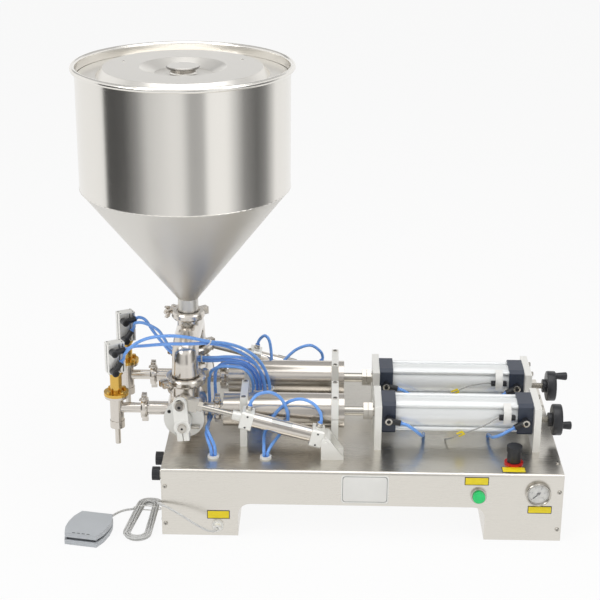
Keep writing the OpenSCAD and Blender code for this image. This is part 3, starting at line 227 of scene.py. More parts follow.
def block(size, centre, r, edge, right=X, up=Y):
    """Block with rounded corners r and eased edges: outlines w - 2e x h - 2e stacked along right x up, where
    the inset e follows a quarter circle at both ends."""
    w, h, d = size
    q = np.linspace(0, np.pi / 2, EASE_POINTS)
    inset = edge * (1 - np.concatenate([np.sin(q), np.cos(q)]))
    level = np.concatenate([edge * (1 - np.cos(q)), d - edge * (1 - np.sin(q))]) - d / 2
    rings = np.stack([rounded(w - 2 * e, h - 2 * e, max(r - e, LEAST_CORNER)) for e in inset])
    right, up = unit(right), unit(up)
    flat = rings[..., :1] * right + rings[..., 1:] * up
    return loft(centre + flat + level[:, None, None] * np.cross(right, up))


def disc_plate(r, t, base, axis, edge):
    """Flat disc with an eased rim: radius r - edge at both faces, r between them."""
    return turned([(r - edge, 0), (r, edge), (r, t - edge), (r - edge, t)], base, axis, 64)


def ring(inner, outer, t, base, axis, edge, sides):
    """Ring with eased edges: a closed profile of eight points turned about the axis."""
    rows = [(outer - edge, 0), (outer, edge), (outer, t - edge), (outer - edge, t), (inner + edge, t),
            (inner, t - edge), (inner, edge), (inner + edge, 0)]
    return turned(rows, base, axis, sides, closed=True)


def pitted(outline, rows, base, axis):
    """A head and the pit in it. Rows (share, r, h) stack rings p(a) = base + h * axis + q(a) * (cos a,
    sin a), where q goes from the circle r to the pit's outline as share goes from 0 to 1. The pit starts at
    the first ring that is all outline."""
    share, r, h = np.array(rows).T[:, :, None, None]
    q = r * (1 - share) + outline * share
    rim = around(circle(len(outline)), *across(axis))
    p, (quads, first, last) = loft(base + h * unit(axis) + q * rim)
    cut = [row[0] for row in rows].index(1) * len(outline)
    return (p, [quads[:cut], first]), (p, [quads[cut:], last])


def socket_bolt(d, h, base, axis, wide=0.27):
    """Socket head and its hexagon pit, whose radius at angle a is wide * d / cos(a mod 60 - 30 degrees)."""
    rows = [(0, 0.5 * d, 0), (0, 0.5 * d, 0.86 * h), (0, 0.46 * d, h), (1, 0, h), (1, 0, 0.45 * h)]
    return pitted(wide * d / np.cos(circle(24) % (np.pi / 3) - np.pi / 6), rows, base, axis)


def cross_screw(d, h, base, axis):
    """Pan head and its cross slot, whose radius swings between 0.11 d and 0.31 d four times round."""
    rows = [(0, 0.5 * d, 0), (0, 0.5 * d, 0.3 * h), (0, 0.44 * d, 0.75 * h), (0, 0.36 * d, h), (1, 0, h),
            (1, 0, 0.4 * h)]
    return pitted(d * (0.11 + 0.2 * np.abs(np.cos(2 * circle(48))) ** 6), rows, base, axis)


def sheet(grid):
    """Open skin over a grid of m x n points."""
    m, n, _ = grid.shape
    k = np.arange(m * n).reshape(m, n)
    quads = np.stack([k[:-1, :-1], k[:-1, 1:], k[1:, 1:], k[1:, :-1]], -1)
    return grid.reshape(-1, 3), [quads.reshape(-1, 4)]


CORNERS = np.array([(-1, -1), (1, -1), (1, 1), (-1, 1)]) / 2


def strip(path, wide, width, thick):
    """Flat band along a path: at each point a rectangle, `width` along `wide` and `thick` square to it."""
    path = np.asarray(path, float)
    up = unit(np.cross(np.gradient(path, axis=0), wide))
    return loft(path[:, None] + CORNERS[:, :1] * width * wide + CORNERS[:, 1:] * thick * up[:, None])


def band(middle, axis, long_way, half, width, thick):
    """Closed flat band round an ellipse square to `axis`, with u along `long_way`:
    p(a) = middle + half[0] cos a * u + half[1] sin a * v."""
    out = around(circle(48), half[0] * unit(long_way), half[1] * unit(np.cross(axis, long_way)))
    flat = CORNERS[:, :1] * width * unit(axis) + CORNERS[:, 1:] * thick * unit(out)[:, None]
    return loft((middle + out)[:, None] + flat, closed=True)


def measured(path):
    """Length of a path of points."""
    return float(np.linalg.norm(np.diff(path, axis=0), axis=1).sum())


def headed(heads, finish):
    """The parts of many pitted heads: the head in its finish and its pit in near-black painted shade."""
    return [part for head, pit in heads for part in ((head, finish), (pit, "recess"))]


FINISHES = {}


def piece(name, body, parts, sharp=32):
    """One object in metres of (surface, finish) parts: doubles merged, faces outward, smooth up to `sharp`
    degrees."""
    mesh = bpy.data.meshes.new(name)
    finishes = list(dict.fromkeys(finish for _, finish in parts))
    points, faces, marks, start = [], [], [], 0
    for (p, rows), finish in parts:
        points.append(p)
        for row in rows:
            faces += (row + start).tolist()
            marks += [finishes.index(finish)] * len(row)
        start += len(p)
    mesh.from_pydata((np.concatenate(points) * MM).tolist(), [], faces)
    mesh.polygons.foreach_set("material_index", marks)
    for finish in finishes:
        mesh.materials.append(FINISHES[finish])
    shell = bmesh.new()
    shell.from_mesh(mesh)
    bmesh.ops.remove_doubles(shell, verts=shell.verts, dist=1e-6)
    bmesh.ops.recalc_face_normals(shell, faces=shell.faces)
    shell.to_mesh(mesh)
    shell.free()
    mesh.polygons.foreach_set("use_smooth", np.ones(len(mesh.polygons), bool))
    mesh.set_sharp_from_angle(angle=math.radians(sharp))
    made = bpy.data.objects.new(name, mesh)
    bpy.context.scene.collection.objects.link(made)
    if body:
        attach(made, body)
    return made


# Finishes

def add(tree, kind, settings, sockets):
    """Add one node: settings are its properties; each socket takes a value, or a link from an output or
    from a node's first output."""
    made = tree.nodes.new("ShaderNode" + kind)
    for key, value in settings.items():
        setattr(made, key, value)
    for key, value in sockets.items():
        if isinstance(value, bpy.types.Node):
            value = value.outputs[0]
        if isinstance(value, bpy.types.NodeSocket):
            tree.links.new(value, made.inputs[key])
        else:
            made.inputs[key].default_value = value
    return made


def blank(key, name):
    """Start the finish of that key: a new material, whose emptied node tree is returned."""
    FINISHES[key] = bpy.data.materials.new(name)
    FINISHES[key].use_nodes = True
    tree = FINISHES[key].node_tree
    tree.nodes.clear()
    return tree


def shade(rgba, share):
    """The same colour, darker or lighter by a share."""
    return (*[min(1.0, c * share) for c in rgba[:3]], 1.0)


# Width in mm of the slow clouds of tone on metal and on other surfaces, and of the ripple in glass
METAL_CLOUD, SKIN_CLOUD, GLASS_RIPPLE = 60, 45, 8


def surface(tree, rgba, tone, spread, gloss, fine, strength, depth, edge, sockets):
    """The end of a finish: `tone` varies the colour by `spread`, `gloss` is the roughness, `fine` is cut
    `depth` millimetres deep, and edges are eased by `edge` millimetres in the shading."""
    dark, light = shade(rgba, 1 - spread), shade(rgba, 1 + spread)
    tint = add(tree, "Mix", {"data_type": "RGBA"}, {0: tone, 6: dark, 7: light})
    soft = add(tree, "Bevel", {"samples": 4}, {"Radius": edge * MM})
    cut = add(tree, "Bump", {}, {"Height": fine, "Strength": strength, "Distance": depth * MM,
                                 "Normal": soft})
    body = add(tree, "BsdfPrincipled", {}, {"Base Color": tint.outputs[2], "Roughness": gloss,
                                            "Normal": cut, **sockets})
    add(tree, "OutputMaterial", {}, {0: body})


def streaked_metal(key, name, rgba, rough, streak, spread, depth, edge, bare=1.0):
    """Metal worked in one direction. Streaks are noise stretched to `streak` millimetres along X, Y and Z;
    they vary the colour by `spread`, the roughness by twice that, and cut `depth` millimetres deep. `bare`
    is less than 1 where an anodic film scatters some of the light."""
    tree = blank(key, name)
    place = add(tree, "TexCoord", {}, {}).outputs["Object"]
    stretch = add(tree, "Mapping", {}, {"Vector": place, "Scale": [1000 / s for s in streak]})
    lines = add(tree, "TexNoise", {}, {"Vector": stretch, "Scale": 1.0, "Detail": 3.0, "Roughness": 0.6})
    cloud = add(tree, "TexNoise", {}, {"Vector": place, "Scale": 1000 / METAL_CLOUD, "Detail": 2.0})
    both = add(tree, "Mix", {"data_type": "FLOAT"}, {0: 0.35, 2: lines, 3: cloud})
    gloss = add(tree, "MapRange", {}, {0: both, 1: 0.25, 2: 0.75, 3: rough * (1 - 2 * spread),
                                       4: rough * (1 + 2 * spread)})
    surface(tree, rgba, both, spread, gloss, lines, 0.4, depth, edge, {"Metallic": bare})


def grained_skin(key, name, rgba, rough, grain, depth, coat=0.0, edge=0.4):
    """Moulded, painted or printed surface: grains `grain` millimetres wide and `depth` high, and a slow
    drift of tone."""
    tree = blank(key, name)
    place = add(tree, "TexCoord", {}, {}).outputs["Object"]
    grains = add(tree, "TexNoise", {}, {"Vector": place, "Scale": 1000 / grain, "Detail": 2.0})
    drift = add(tree, "TexNoise", {}, {"Vector": place, "Scale": 1000 / SKIN_CLOUD, "Detail": 2.0})
    gloss = add(tree, "MapRange", {}, {0: grains, 1: 0.3, 2: 0.7, 3: rough * 0.85, 4: rough * 1.15})
    surface(tree, rgba, drift, 0.07, gloss, grains, 0.5, depth, edge,
            {"IOR": 1.5, "Coat Weight": coat, "Coat Roughness": 0.12})


def clear_glass(key, name):
    """Flat gauge glass, drawn and cut: clear, with a faint ripple."""
    tree = blank(key, name)
    place = add(tree, "TexCoord", {}, {}).outputs["Object"]
    ripple = add(tree, "TexNoise", {}, {"Vector": place, "Scale": 1000 / GLASS_RIPPLE})
    wave = add(tree, "Bump", {}, {"Height": ripple, "Strength": 0.1, "Distance": 0.02 * MM})
    pane = add(tree, "BsdfPrincipled", {}, {"Base Color": (1, 1, 1, 1), "Roughness": 0.02, "IOR": 1.45,
                                            "Alpha": 0.1, "Normal": wave})
    add(tree, "OutputMaterial", {}, {0: pane})


# Metals: name, colour and its share, then what streaked_metal takes from rough on
METALS = {
    # Cold-rolled stainless sheet, brushed along the machine: soft streaks and a blurred reflection
    "sheet": ("Stainless sheet, brushed", "sheet", 1, 0.28, (90, 0.5, 0.5), 0.05, 0.004, 0.4),
    # Spun and polished stainless: bright bands round the drum, fine upright lines
    "hopper": ("Stainless sheet, polished", "hopper", 1, 0.17, (1.2, 1.2, 120), 0.03, 0.002, 1.0),
    # The same sheet, rolled and rubbed to a satin on the cone, pressed and buffed on the lid: no mirror
    # The cone's colour, 0.84 of the hopper's, is painted shade on the downward-facing cone
    "cone": ("Stainless sheet, satin rubbed", "hopper", 0.84, 0.4, (1.2, 1.2, 90), 0.04, 0.004, 1.0),
    "lid": ("Stainless sheet, pressed", "hopper", 1, 0.3, (30, 1.5, 30), 0.03, 0.003, 1.5),
    # Turned bar with the cutter's fine rings; its colour, 0.4 of the pipe steel's, is painted shade for the
    # dark side of the lid's knob, and the rods' bolts use it too
    "bar": ("Stainless bar, turned", "pipe", 0.4, 0.3, (20, 20, 0.5), 0.08, 0.006, 0.4),
    # Drawn and polished pipe: clear dark and bright bands
    "pipe": ("Stainless pipe, polished", "pipe", 1, 0.19, (8, 1.5, 8), 0.06, 0.002, 0.8),
    # Ground tube with lines along it: the same steel, painted a little darker as shade for the dark
    # reflections of the base top below it
    "barrel": ("Stainless tube, ground", "pipe", 0.88, 0.2, (60, 0.8, 0.8), 0.05, 0.003, 0.8),
    # Milled plate, blasted and anodised: pale, even, with short cutter streaks
    "alloy": ("Aluminium, satin anodised", "alloy", 1, 0.38, (1.5, 1.5, 9), 0.05, 0.006, 0.7, 0.45),
    # The same metal faced on a lathe, with more of the bare metal's gloss; painted greyer, in part as shade
    # that sets the crank apart from the cover behind it
    "cover": ("Aluminium, turned and anodised", "alloy", 0.84, 0.34, (6, 1, 6), 0.06, 0.006, 0.7, 0.6),
    # Drawn aluminium tube: silvery white with lines along it
    "tube": ("Aluminium tube, drawn", "air_tube", 1, 0.32, (60, 0.7, 0.7), 0.04, 0.004, 0.4, 0.25),
    # Ground and chromed steel: sharp reflections
    "chrome": ("Steel, hard chromed", "chrome", 1, 0.18, (6, 0.6, 0.6), 0.03, 0.001, 0.4),
    # Turned brass: warm, with fine rings round the axis
    "brass": ("Brass, turned", "brass", 1, 0.2, (12, 12, 0.5), 0.06, 0.003, 0.5),
}
# Other surfaces: name, colour and its share, then what grained_skin takes from rough on
SKINS = {
    # Die-cast caps in satin enamel: dark blue with a faint orange peel
    "navy": ("Die cast, navy enamel", "navy", 1, 0.42, 1.1, 0.02, 0.05, 0.8),
    # Injection-moulded plastic with a fine spark texture; the green one is clearer and glossier
    "black": ("ABS, black moulded", "black", 1, 0.34, 0.5, 0.012),
    "red": ("ABS, red moulded", "red", 1, 0.3, 0.6, 0.01),
    "green": ("Acrylic, green moulded", "green", 1, 0.16, 2.0, 0.004, 0.3, 0.8),
    "white": ("Nylon, white moulded", "white", 1, 0.42, 0.6, 0.01),
    # Extruded polyurethane: glossy and even; its collars are moulded and deeper blue
    "hose": ("Polyurethane hose, extruded", "hose", 1, 0.24, 3.0, 0.01, 0.25, 0.2),
    "collar": ("Acetal collar, blue moulded", "hose", 0.75, 0.3, 1.0, 0.008),
    # Soft PVC sheath: dull, slightly grained
    "cord": ("PVC sheath, grey", "cord", 1, 0.5, 0.9, 0.02, 0.0, 0.2),
    "lead": ("PVC sheath, dark grey", "cord", 0.6, 0.5, 0.9, 0.02, 0.0, 0.2),
    # Pressed steel in grey enamel: orange peel about 1.4 mm wide
    "pedal": ("Pressed steel, grey enamel", "pedal", 1, 0.42, 1.4, 0.02, 0.1, 0.8),
    # Moulded rubber: dark and matt
    "rubber": ("Rubber, dark", "black", 1.8, 0.7, 0.6, 0.02),
    # Screen print on polyester film: even and slightly glossy
    "yellow": ("Polyester film, yellow print", "yellow", 1, 0.35, 0.8, 0.004),
    "ink": ("Polyester film, black print", "black", 1, 0.4, 0.8, 0.004),
    "paper": ("Polyester film, white", "white", 1, 0.4, 0.8, 0.004),
    # Painted shade: near-black pits, grooves, slots and vents, where shade falls in small recesses
    "recess": ("Steel, blackened", "black", 0.4, 0.6, 0.5, 0.01),
}


def pair(*names):
    """Names of the front and the rear node of each name."""
    return [side + "_" + name for name in names for side in SIDES]


CAD_FINISHES = {
    "sheet": ["base_shell", "base_panels", "bottom_tray"],
    "hopper": ["hopper_wall_ring"],
    "cone": ["hopper_cone"],
    "lid": ["hopper_lid"],
    "pipe": ["feed_manifold", "valve_bodies", "pipe_clamps", "nozzle_tubes", "nozzle_tips",
             *pair("valve_rotor")],
    "barrel": ["product_barrels"],
    "alloy": ["air_controls", "barrel_plates", "barrel_caps", "cylinder_plates", "actuator_brackets",
              "nozzle_cylinders", *pair("crank", "actuator_barrel")],
    "cover": ["valve_covers"],
    "tube": ["cylinder_tubes", "tie_rods"],
    "chrome": ["button_bezel", "gauge_case", "speed_control_bodies",
               *pair("piston_rod", "actuator_rod", "plunger")],
    "navy": ["cylinder_caps"],
    "brass": ["nozzle_bonnets", "air_inlet"],
    "white": ["cable_bushes", *pair("pistons")],
    "black": ["elbow_fittings", "regulator_knob", "gauge_needle", *pair("speed_knob", "handwheel")],
    "red": ["regulator_ring"],
    "green": ["start_button"],
    "hose": ["air_hoses", *pair("actuator_hoses")],
    "cord": ["cord_hank", "cord_ends"],
    "pedal": ["pedal_base", "treadle"],
    "rubber": pair("stop_pad"),
}


class FILLER_OT_finishes(bpy.types.Operator):
    """Make the finishes and put them on the frame's own solids."""

    bl_idname = "filler.finishes"
    bl_label = "Finishes"

    def execute(self, context):
        colours = context.scene.filler_colours
        for make, table in ((streaked_metal, METALS), (grained_skin, SKINS)):
            for key, (name, colour_of, share, *rest) in table.items():
                make(key, name, shade(getattr(colours, colour_of), share), *rest)
        clear_glass("glass", "Gauge glass")
        for finish, nodes in CAD_FINISHES.items():
            for name in nodes:
                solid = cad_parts[name].data
                solid.materials.clear()
                solid.materials.append(FINISHES[finish])
        return {"FINISHED"}


# Camera, floor and light

CAMERA_AT, CAMERA_LENS, SENSOR_WIDTH, SEE_TO = np.array([-65.3, -2616.78, 1383.56]), 90.706, 36, 50000
CAMERA_TURN = np.radians([21.02, -1.13, 0.375])


def camera_axes():
    """Right, up and back of the camera: pitch down, yaw to the left, then a small roll."""
    pitch, yaw, roll = CAMERA_TURN
    ahead = around(pitch, around(yaw, Y, X), -Z)
    right = around(yaw, X, -Y)
    up = np.cross(right, ahead)
    return around(roll, right, up), around(roll, up, -right), -ahead


def put_camera(scene):
    """Camera at the photograph's view."""
    lens = bpy.data.cameras.new("Camera")
    lens.lens = CAMERA_LENS
    lens.sensor_width = SENSOR_WIDTH
    lens.clip_end = SEE_TO * MM
    camera = bpy.data.objects.new("Camera", lens)
    axes = np.stack([*camera_axes(), CAMERA_AT * MM], -1)
    camera.matrix_world = Matrix(np.concatenate([axes, [[0, 0, 0, 1]]]).tolist())
    scene.collection.objects.link(camera)
    scene.camera = camera


WHITE, PAPER, FLOOR_GLOW, FILL_LIGHT = (1, 1, 1, 1), "f4f4f3", 0.9, 0.45
FLOOR_SIZE, FLOOR_AT, FLOOR_CORNER, FLOOR_EDGE = (14000, 14000, 10), (0, 0, -5.5), 100, 1


def seen_share(tree, share):
    """`share` for rays from the camera, in mirrors and through glass, and 0 for all others."""
    path = add(tree, "LightPath", {}, {}).outputs
    seen = path["Is Camera Ray"]
    for kind in ("Is Glossy Ray", "Is Transmission Ray"):
        seen = add(tree, "Math", {"operation": "MAXIMUM"}, {0: seen, 1: path[kind]})
    return add(tree, "Math", {"operation": "MULTIPLY"}, {0: seen, 1: share})


def white_where_seen(tree, plain, share, kind, output):
    """End a tree with its plain shader, mixed by `share` with white where it is seen."""
    white = add(tree, kind, {}, {"Color": WHITE, "Strength": 1.0})
    mix = add(tree, "MixShader", {}, {0: seen_share(tree, share), 1: plain, 2: white})
    add(tree, output, {}, {0: mix})


def put_floor():
    """Paper that shows nearly white where it is seen, and lights the machine as pale paper does."""
    tree = blank("floor", "Floor, pale paper")
    paper = add(tree, "BsdfDiffuse", {}, {"Color": linear(PAPER)})
    white_where_seen(tree, paper, FLOOR_GLOW, "Emission", "OutputMaterial")
    return piece("floor", None, [(block(FLOOR_SIZE, FLOOR_AT, FLOOR_CORNER, FLOOR_EDGE), "floor")])


def put_world(scene):
    """A white world where it is seen, and a weaker white light from all round."""
    world = bpy.data.worlds.new("Studio")
    world.use_nodes = True
    tree = world.node_tree
    tree.nodes.clear()
    fill = add(tree, "Background", {}, {"Color": WHITE, "Strength": FILL_LIGHT})
    white_where_seen(tree, fill, 1.0, "Background", "OutputWorld")
    scene.world = world


# Grey levels of the curved card in front of the machine, by the angle from straight ahead in degrees
CARD_TONES = ((-82, 0.06), (-56, 0.1), (-42, 0.3), (-30, 0.66), (-6, 0.86), (3, 0.84), (11, 0.44),
              (24, 0.46), (29, 1.0), (48, 1.0), (68, 0.26), (84, 0.14), (96, 0.26), (112, 0.85))
CARD_R, CARD_H = 1500, 1050
# Flat cards: grey level and four corners, one far behind above the eye's line and one overhead
FLAT_CARDS = {
    "back_card": (0.4, ((-6000, 8000, 3300), (600, 8000, 3300), (-6000, 8000, 9000), (600, 8000, 9000))),
    "ceiling_card": (0.6, ((-4000, -3600, 4200), (4000, -3600, 4200), (-4000, 6500, 4200),
                           (4000, 6500, 4200))),
}


def mirror_card(tree, glow, name, grid):
    """A glowing card, in the finish of its name, that only mirrors see."""
    lit = add(tree, "Emission", {}, {0: glow, 1: 1.0})
    add(tree, "OutputMaterial", {}, {0: lit})
    card = piece(name, None, [(sheet(grid), name)])
    card.visible_camera = card.visible_diffuse = card.visible_shadow = card.visible_transmission = False
    return card


def front_card():
    """Curved card p(a, h) = axis + R * (sin a, -cos a) + h * z, shaded by the angle a round the hopper."""
    low, high = (math.radians(CARD_TONES[k][0]) for k in (0, -1))
    tree = blank("front_card", "Card, graded grey")
    place = add(tree, "TexCoord", {}, {}).outputs["Object"]
    parts = add(tree, "SeparateXYZ", {}, {0: place}).outputs
    aside = add(tree, "Math", {"operation": "SUBTRACT"}, {0: parts[0], 1: FEED_X * MM})
    ahead = add(tree, "Math", {"operation": "MULTIPLY"}, {0: parts[1], 1: -1.0})
    turn = add(tree, "Math", {"operation": "ARCTAN2"}, {0: aside, 1: ahead})
    along = add(tree, "MapRange", {}, {0: turn, 1: low, 2: high})
    ramp = add(tree, "ValToRGB", {}, {0: along})
    stops = ramp.color_ramp.elements
    for k, (angle, tone) in enumerate(CARD_TONES):
        at = (math.radians(angle) - low) / (high - low)
        stop = stops[0] if k == 0 else stops[-1] if k == len(CARD_TONES) - 1 else stops.new(at)
        stop.position = at
        stop.color = (tone, tone, tone, 1)
    a = np.linspace(low, high, 90)[:, None, None]
    h = np.array([0.0, CARD_H])[None, :, None]
    grid = FEED_X * X + CARD_R * around(a, -Y, X) + h * Z
    return mirror_card(tree, ramp, "front_card", grid)


def flat_card(name):
    """An even grey card between four corners."""
    tone, corners = FLAT_CARDS[name]
    tree = blank(name, "Card, grey " + name)
    return mirror_card(tree, (tone, tone, tone, 1), name, np.array(corners, float).reshape(2, 2, 3))


# Lamps: name, place, power in watts and width
LAMPS = (("Top light", (-100, -300, 2600), 26, 2200), ("Left light", (-2200, -1900, 1900), 22, 1600),
         ("Right light", (2300, -1600, 1600), 12, 1600))
LAMPS_AIM = Vector((-50, 0, 300))


def put_lamps(scene):
    """Soft square lamps that face the machine."""
    for name, at, power, width in LAMPS:
        lamp = bpy.data.lights.new(name, "AREA")
        lamp.energy = power
        lamp.size = width * MM
        lit = bpy.data.objects.new(name, lamp)
        lit.location = Vector(at) * MM
        lit.rotation_euler = (LAMPS_AIM - Vector(at)).to_track_quat("-Z", "Y").to_euler()
        scene.collection.objects.link(lit)


class FILLER_OT_stage(bpy.types.Operator):
    """Camera at the photograph's view, pale floor, soft light and grey cards for the metal to mirror."""

    bl_idname = "filler.stage"
    bl_label = "Stage"

    def execute(self, context):
        scene = context.scene
        scene.view_settings.view_transform = "Standard"
        put_camera(scene)
        put_floor()
        front_card()
        [flat_card(name) for name in FLAT_CARDS]
        put_world(scene)
        put_lamps(scene)
        return {"FINISHED"}


# The pedal's cord, then the hoses

PEDAL_CORD = [(-463.2, -174.8, 5), (-460.5, -161, 4.5), (-456, -148, 3), (-448, -136, 2.1),
              (-437, -128, 2.1), (-425, -124, 2.1), (-417, -118, 2.1), (-415, -110.7, 2.1)]
BASE_CORD = [(-259, -227, 21), (-262, -234, 21.6), (-268, -240, 24), (-279, -243, 29), (-300, -240, 40),
             (-325, -231, 52), (-348, -222, 61), (-363, -216, 64), (-367.5, -203, 61), (-369, -180, 50),
             (-370, -153, 35), (-371.5, -128, 21), (-375, -107, 11.5), (-383, -95, 7.6),
             (-394.5, -91.2, 6.7)]
# The gland in x and z, and how far before the front the cord starts
GLAND, GLAND_OUT = (-259, 21), 12.5
# The hank: centres and radii of its two ends, the step of a turn, the height of a layer, its lowest height,
# how many turns it has, and at which turn and for how long it climbs
HANK_TIE, HANK_END = np.array([-396.0, -112.0]), np.array([-404.0, -216.0])
HANK_TIE_R, HANK_END_R = 19.0, 25.0
HANK_STEP, HANK_LAYER, HANK_Z = 4.7, 4.6, 2.1
HANK_TURNS, CLIMB_AT, CLIMB_FOR = 5.125, 2.25, 0.25
# The tie round the hank: distance from the narrow end's centre, height, half sizes, width and thickness
STRAP_FROM, STRAP_Z, STRAP_HALF, STRAP_W, STRAP_T = 12, 4.9, (26, 4.3), 3, 0.9
CORD_STEPS, HANK_STEPS, CORD_SIDES = 6, 48, 14


def hank_path():
    """Hank: each turn is a half circle at the tie, a straight run, a half circle at the far end and a run
    back. Turns step inwards, climb a layer at CLIMB_AT and step outwards again."""
    t = np.linspace(0, HANK_TURNS, int(HANK_TURNS * HANK_STEPS) + 1)
    f = (t % 1.0)[:, None]
    back = np.minimum(CLIMB_AT, 2 * CLIMB_AT + CLIMB_FOR - t)
    inset = HANK_STEP * np.where(t < CLIMB_AT, t, back)[:, None]
    a = unit(HANK_END - HANK_TIE)
    n = np.array([a[1], -a[0]])
    near, far = HANK_TIE_R - inset, HANK_END_R - inset
    q = (f * 4) % 1.0
    c, s = np.cos(np.pi * q), np.sin(np.pi * q)
    flat = np.where(f < 0.25, HANK_TIE + near * (c * n - s * a),
                    np.where(f < 0.5, (HANK_TIE - near * n) * (1 - q) + (HANK_END - far * n) * q,
                             np.where(f < 0.75, HANK_END + far * (s * a - c * n),
                                      (HANK_END + far * n) * (1 - q) + (HANK_TIE + near * n) * q)))
    high = HANK_Z + HANK_LAYER * np.clip((t - CLIMB_AT) / CLIMB_FOR, 0, 1)
    return np.concatenate([flat, high[:, None]], axis=1)


class FILLER_OT_cord(bpy.types.Operator):
    """The pedal's cord in one run, from the gland round the base's corner and through the hank to the pedal,
    and the flat tie round the hank."""

    bl_idname = "filler.cord"
    bl_label = "Pedal cord"

    def execute(self, context):
        d = context.scene.filler_sizes.cord_d
        base, pedal = smooth(BASE_CORD, CORD_STEPS), smooth(PEDAL_CORD, CORD_STEPS)[::-1]
        path = np.concatenate([base[:-1], hank_path()[::-1], pedal[1:]])
        path[0] = (GLAND[0], FRONT - GLAND_OUT, GLAND[1])
        cord = piece("pedal_cord", "frame", [(swept(path, d / MM / 2, CORD_SIDES), "cord")])
        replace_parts(cord, "cord_hank", "cord_ends")
        along = unit(np.append(HANK_END - HANK_TIE, 0))
        middle = np.append(HANK_TIE, STRAP_Z) + STRAP_FROM * along
        strap = band(middle, along, np.cross(along, Z), STRAP_HALF, STRAP_W, STRAP_T)
        tie = piece("hank_tie", "frame", [(strap, "white")], 60)
        path = path * MM
        return {"FINISHED"}


# Hose routes, with heights above the top plate, as in the frame
LONG_HOSES = [
    [(-433.1, -84.7, 177.2), (-426.2, -80.7, 178.3), (-416, -81, 182), (-398, -92, 188),
     (-374, -103, 195), (-345, -110, 200), (-314, -109, 200), (-281, -91, 194), (-253, -68, 180),
     (-229, -46, 160), (-206, -30, 137), (-190, -21, 110), (-183, -14, 84), (-181, -10, 58),
     (-181, -8, 28), (-181, -8, 0)],
    [(-440.5, -89, 154.1), (-436.3, -86.5, 160.4), (-433, -94, 172), (-419, -101, 190),
     (-399, -110, 206), (-376, -115, 215), (-344, -118, 219), (-313, -115, 215), (-280, -98, 201),
     (-247, -72, 186), (-220, -47, 166), (-197, -31, 142), (-182, -20, 114), (-174, -14, 85),
     (-172, -10, 58), (-172, -8, 28), (-172, -8, 0)],
    [(-433.1, 67.3, 177.2), (-426.2, 71.3, 178.3), (-414, 68, 174), (-397, 46, 160), (-376, 18, 147),
     (-357, -4, 138), (-329, -20, 133), (-298, -28, 133), (-274, -30, 134), (-251, -28, 135),
     (-223, -24, 130), (-203, -18, 114), (-193, -10, 90), (-190, -4, 63), (-190, -1, 28), (-190, -1, 0)],
    [(-440.5, 63, 154.1), (-436.3, 65.5, 160.4), (-433, 57, 172), (-414, 43, 178), (-387, 28, 171),
     (-373, 10, 161), (-362, -4, 151), (-343, -16, 145), (-320, -25, 142), (-298, -31, 141),
     (-274, -34, 142), (-251, -32, 143), (-221, -26, 138), (-197, -16, 119), (-187, -5, 90),
     (-183, -1, 63), (-183, 2, 28), (-183, 2, 0)],
    [(-272.2, -160, 0), (-274, -159, 16), (-280, -151, 30), (-284, -132, 35), (-283, -104, 31),
     (-284, -74, 27), (-286, -50, 33), (-285, -35, 56), (-286, -33, 88), (-282, -37, 113),
     (-266, -41, 126), (-247, -40, 127), (-224, -35, 122), (-210, -27, 106), (-204, -18, 83),
     (-204, -13, 58), (-204, -11, 28), (-204, -11, 0)],
    [(-265.8, -160, 0), (-267, -158, 20), (-276, -150, 38), (-283, -132, 44), (-283, -104, 39),
     (-280, -74, 37), (-276, -46, 43), (-274, -30, 60), (-275, -25, 88), (-273, -24, 111),
     (-263, -22, 123), (-247, -19, 125), (-224, -15, 120), (-208, -9, 106), (-199, -2, 83),
     (-197, 4, 58), (-197, 7, 28), (-197, 7, 0)]]
# Along Y the rest count from the head's axis
CAP_HOSES = [
    [(70.6, -39, 51.6), (82, -39, 48), (95, -38, 39), (105, -32, 28), (112, -18, 17), (116, 2, 11),
     (117, 14, 6), (117, 16, 0)],
    [(279.7, -39, 45.8), (268, -39, 39), (256, -38, 31), (247, -32, 24), (241, -18, 16), (238, 2, 11),
     (237, 14, 6), (237, 16, 0)]]
ACTUATOR_HOSES = {
    "front": [
        [(-202.6, -66.6, 96.3), (-200.8, -66.6, 103), (-193, -63, 113), (-181, -60, 118),
         (-165, -56, 117), (-149, -52, 105), (-139, -49, 85), (-135, -46, 65), (-138, -45, 47),
         (-150, -51, 31), (-163, -70, 20), (-170, -82, 11), (-170.8, -84, 0)],
        [(-75.7, -66.6, 63.7), (-74, -66.6, 70.5), (-77, -64, 84), (-90, -59, 98), (-111, -50, 102),
         (-132, -41, 93), (-149, -38, 78), (-162, -39, 61), (-172, -41, 45), (-178, -52, 31),
         (-178, -72, 20), (-177.4, -83, 11), (-177.2, -84, 0)]],
    "rear": [
        [(-202.6, 66.6, 96.3), (-200.8, 66.6, 103), (-195, 64, 112), (-187, 60, 117), (-179, 54, 108),
         (-175, 48, 80), (-176, 44, 52), (-178, 53, 32), (-178, 73, 20), (-177.4, 83, 11),
         (-177.2, 84, 0)],
        [(-75.7, 66.6, 63.7), (-74, 66.6, 70.5), (-79, 64, 84), (-98, 60, 98), (-124, 55, 92),
         (-146, 49, 74), (-163, 44, 52), (-169, 49, 33), (-171, 68, 21), (-170.8, 83, 11),
         (-170.8, 84, 0)]]}
# A place in x and two heights along the valve drives' hoses, and the steps of a hose between two of its
# points
BEND_X, BEND_HEIGHTS, HOSE_STEPS = -170, (150, 198), 8


def hose(points, y, sizes):
    """A hose along a smooth curve through its points, from the top plate and from y."""
    path = smooth(np.array(points) + (0, y, TOP), HOSE_STEPS)
    return swept(path, sizes.hose_d / MM / 2, sizes.hose_sides), "hose"


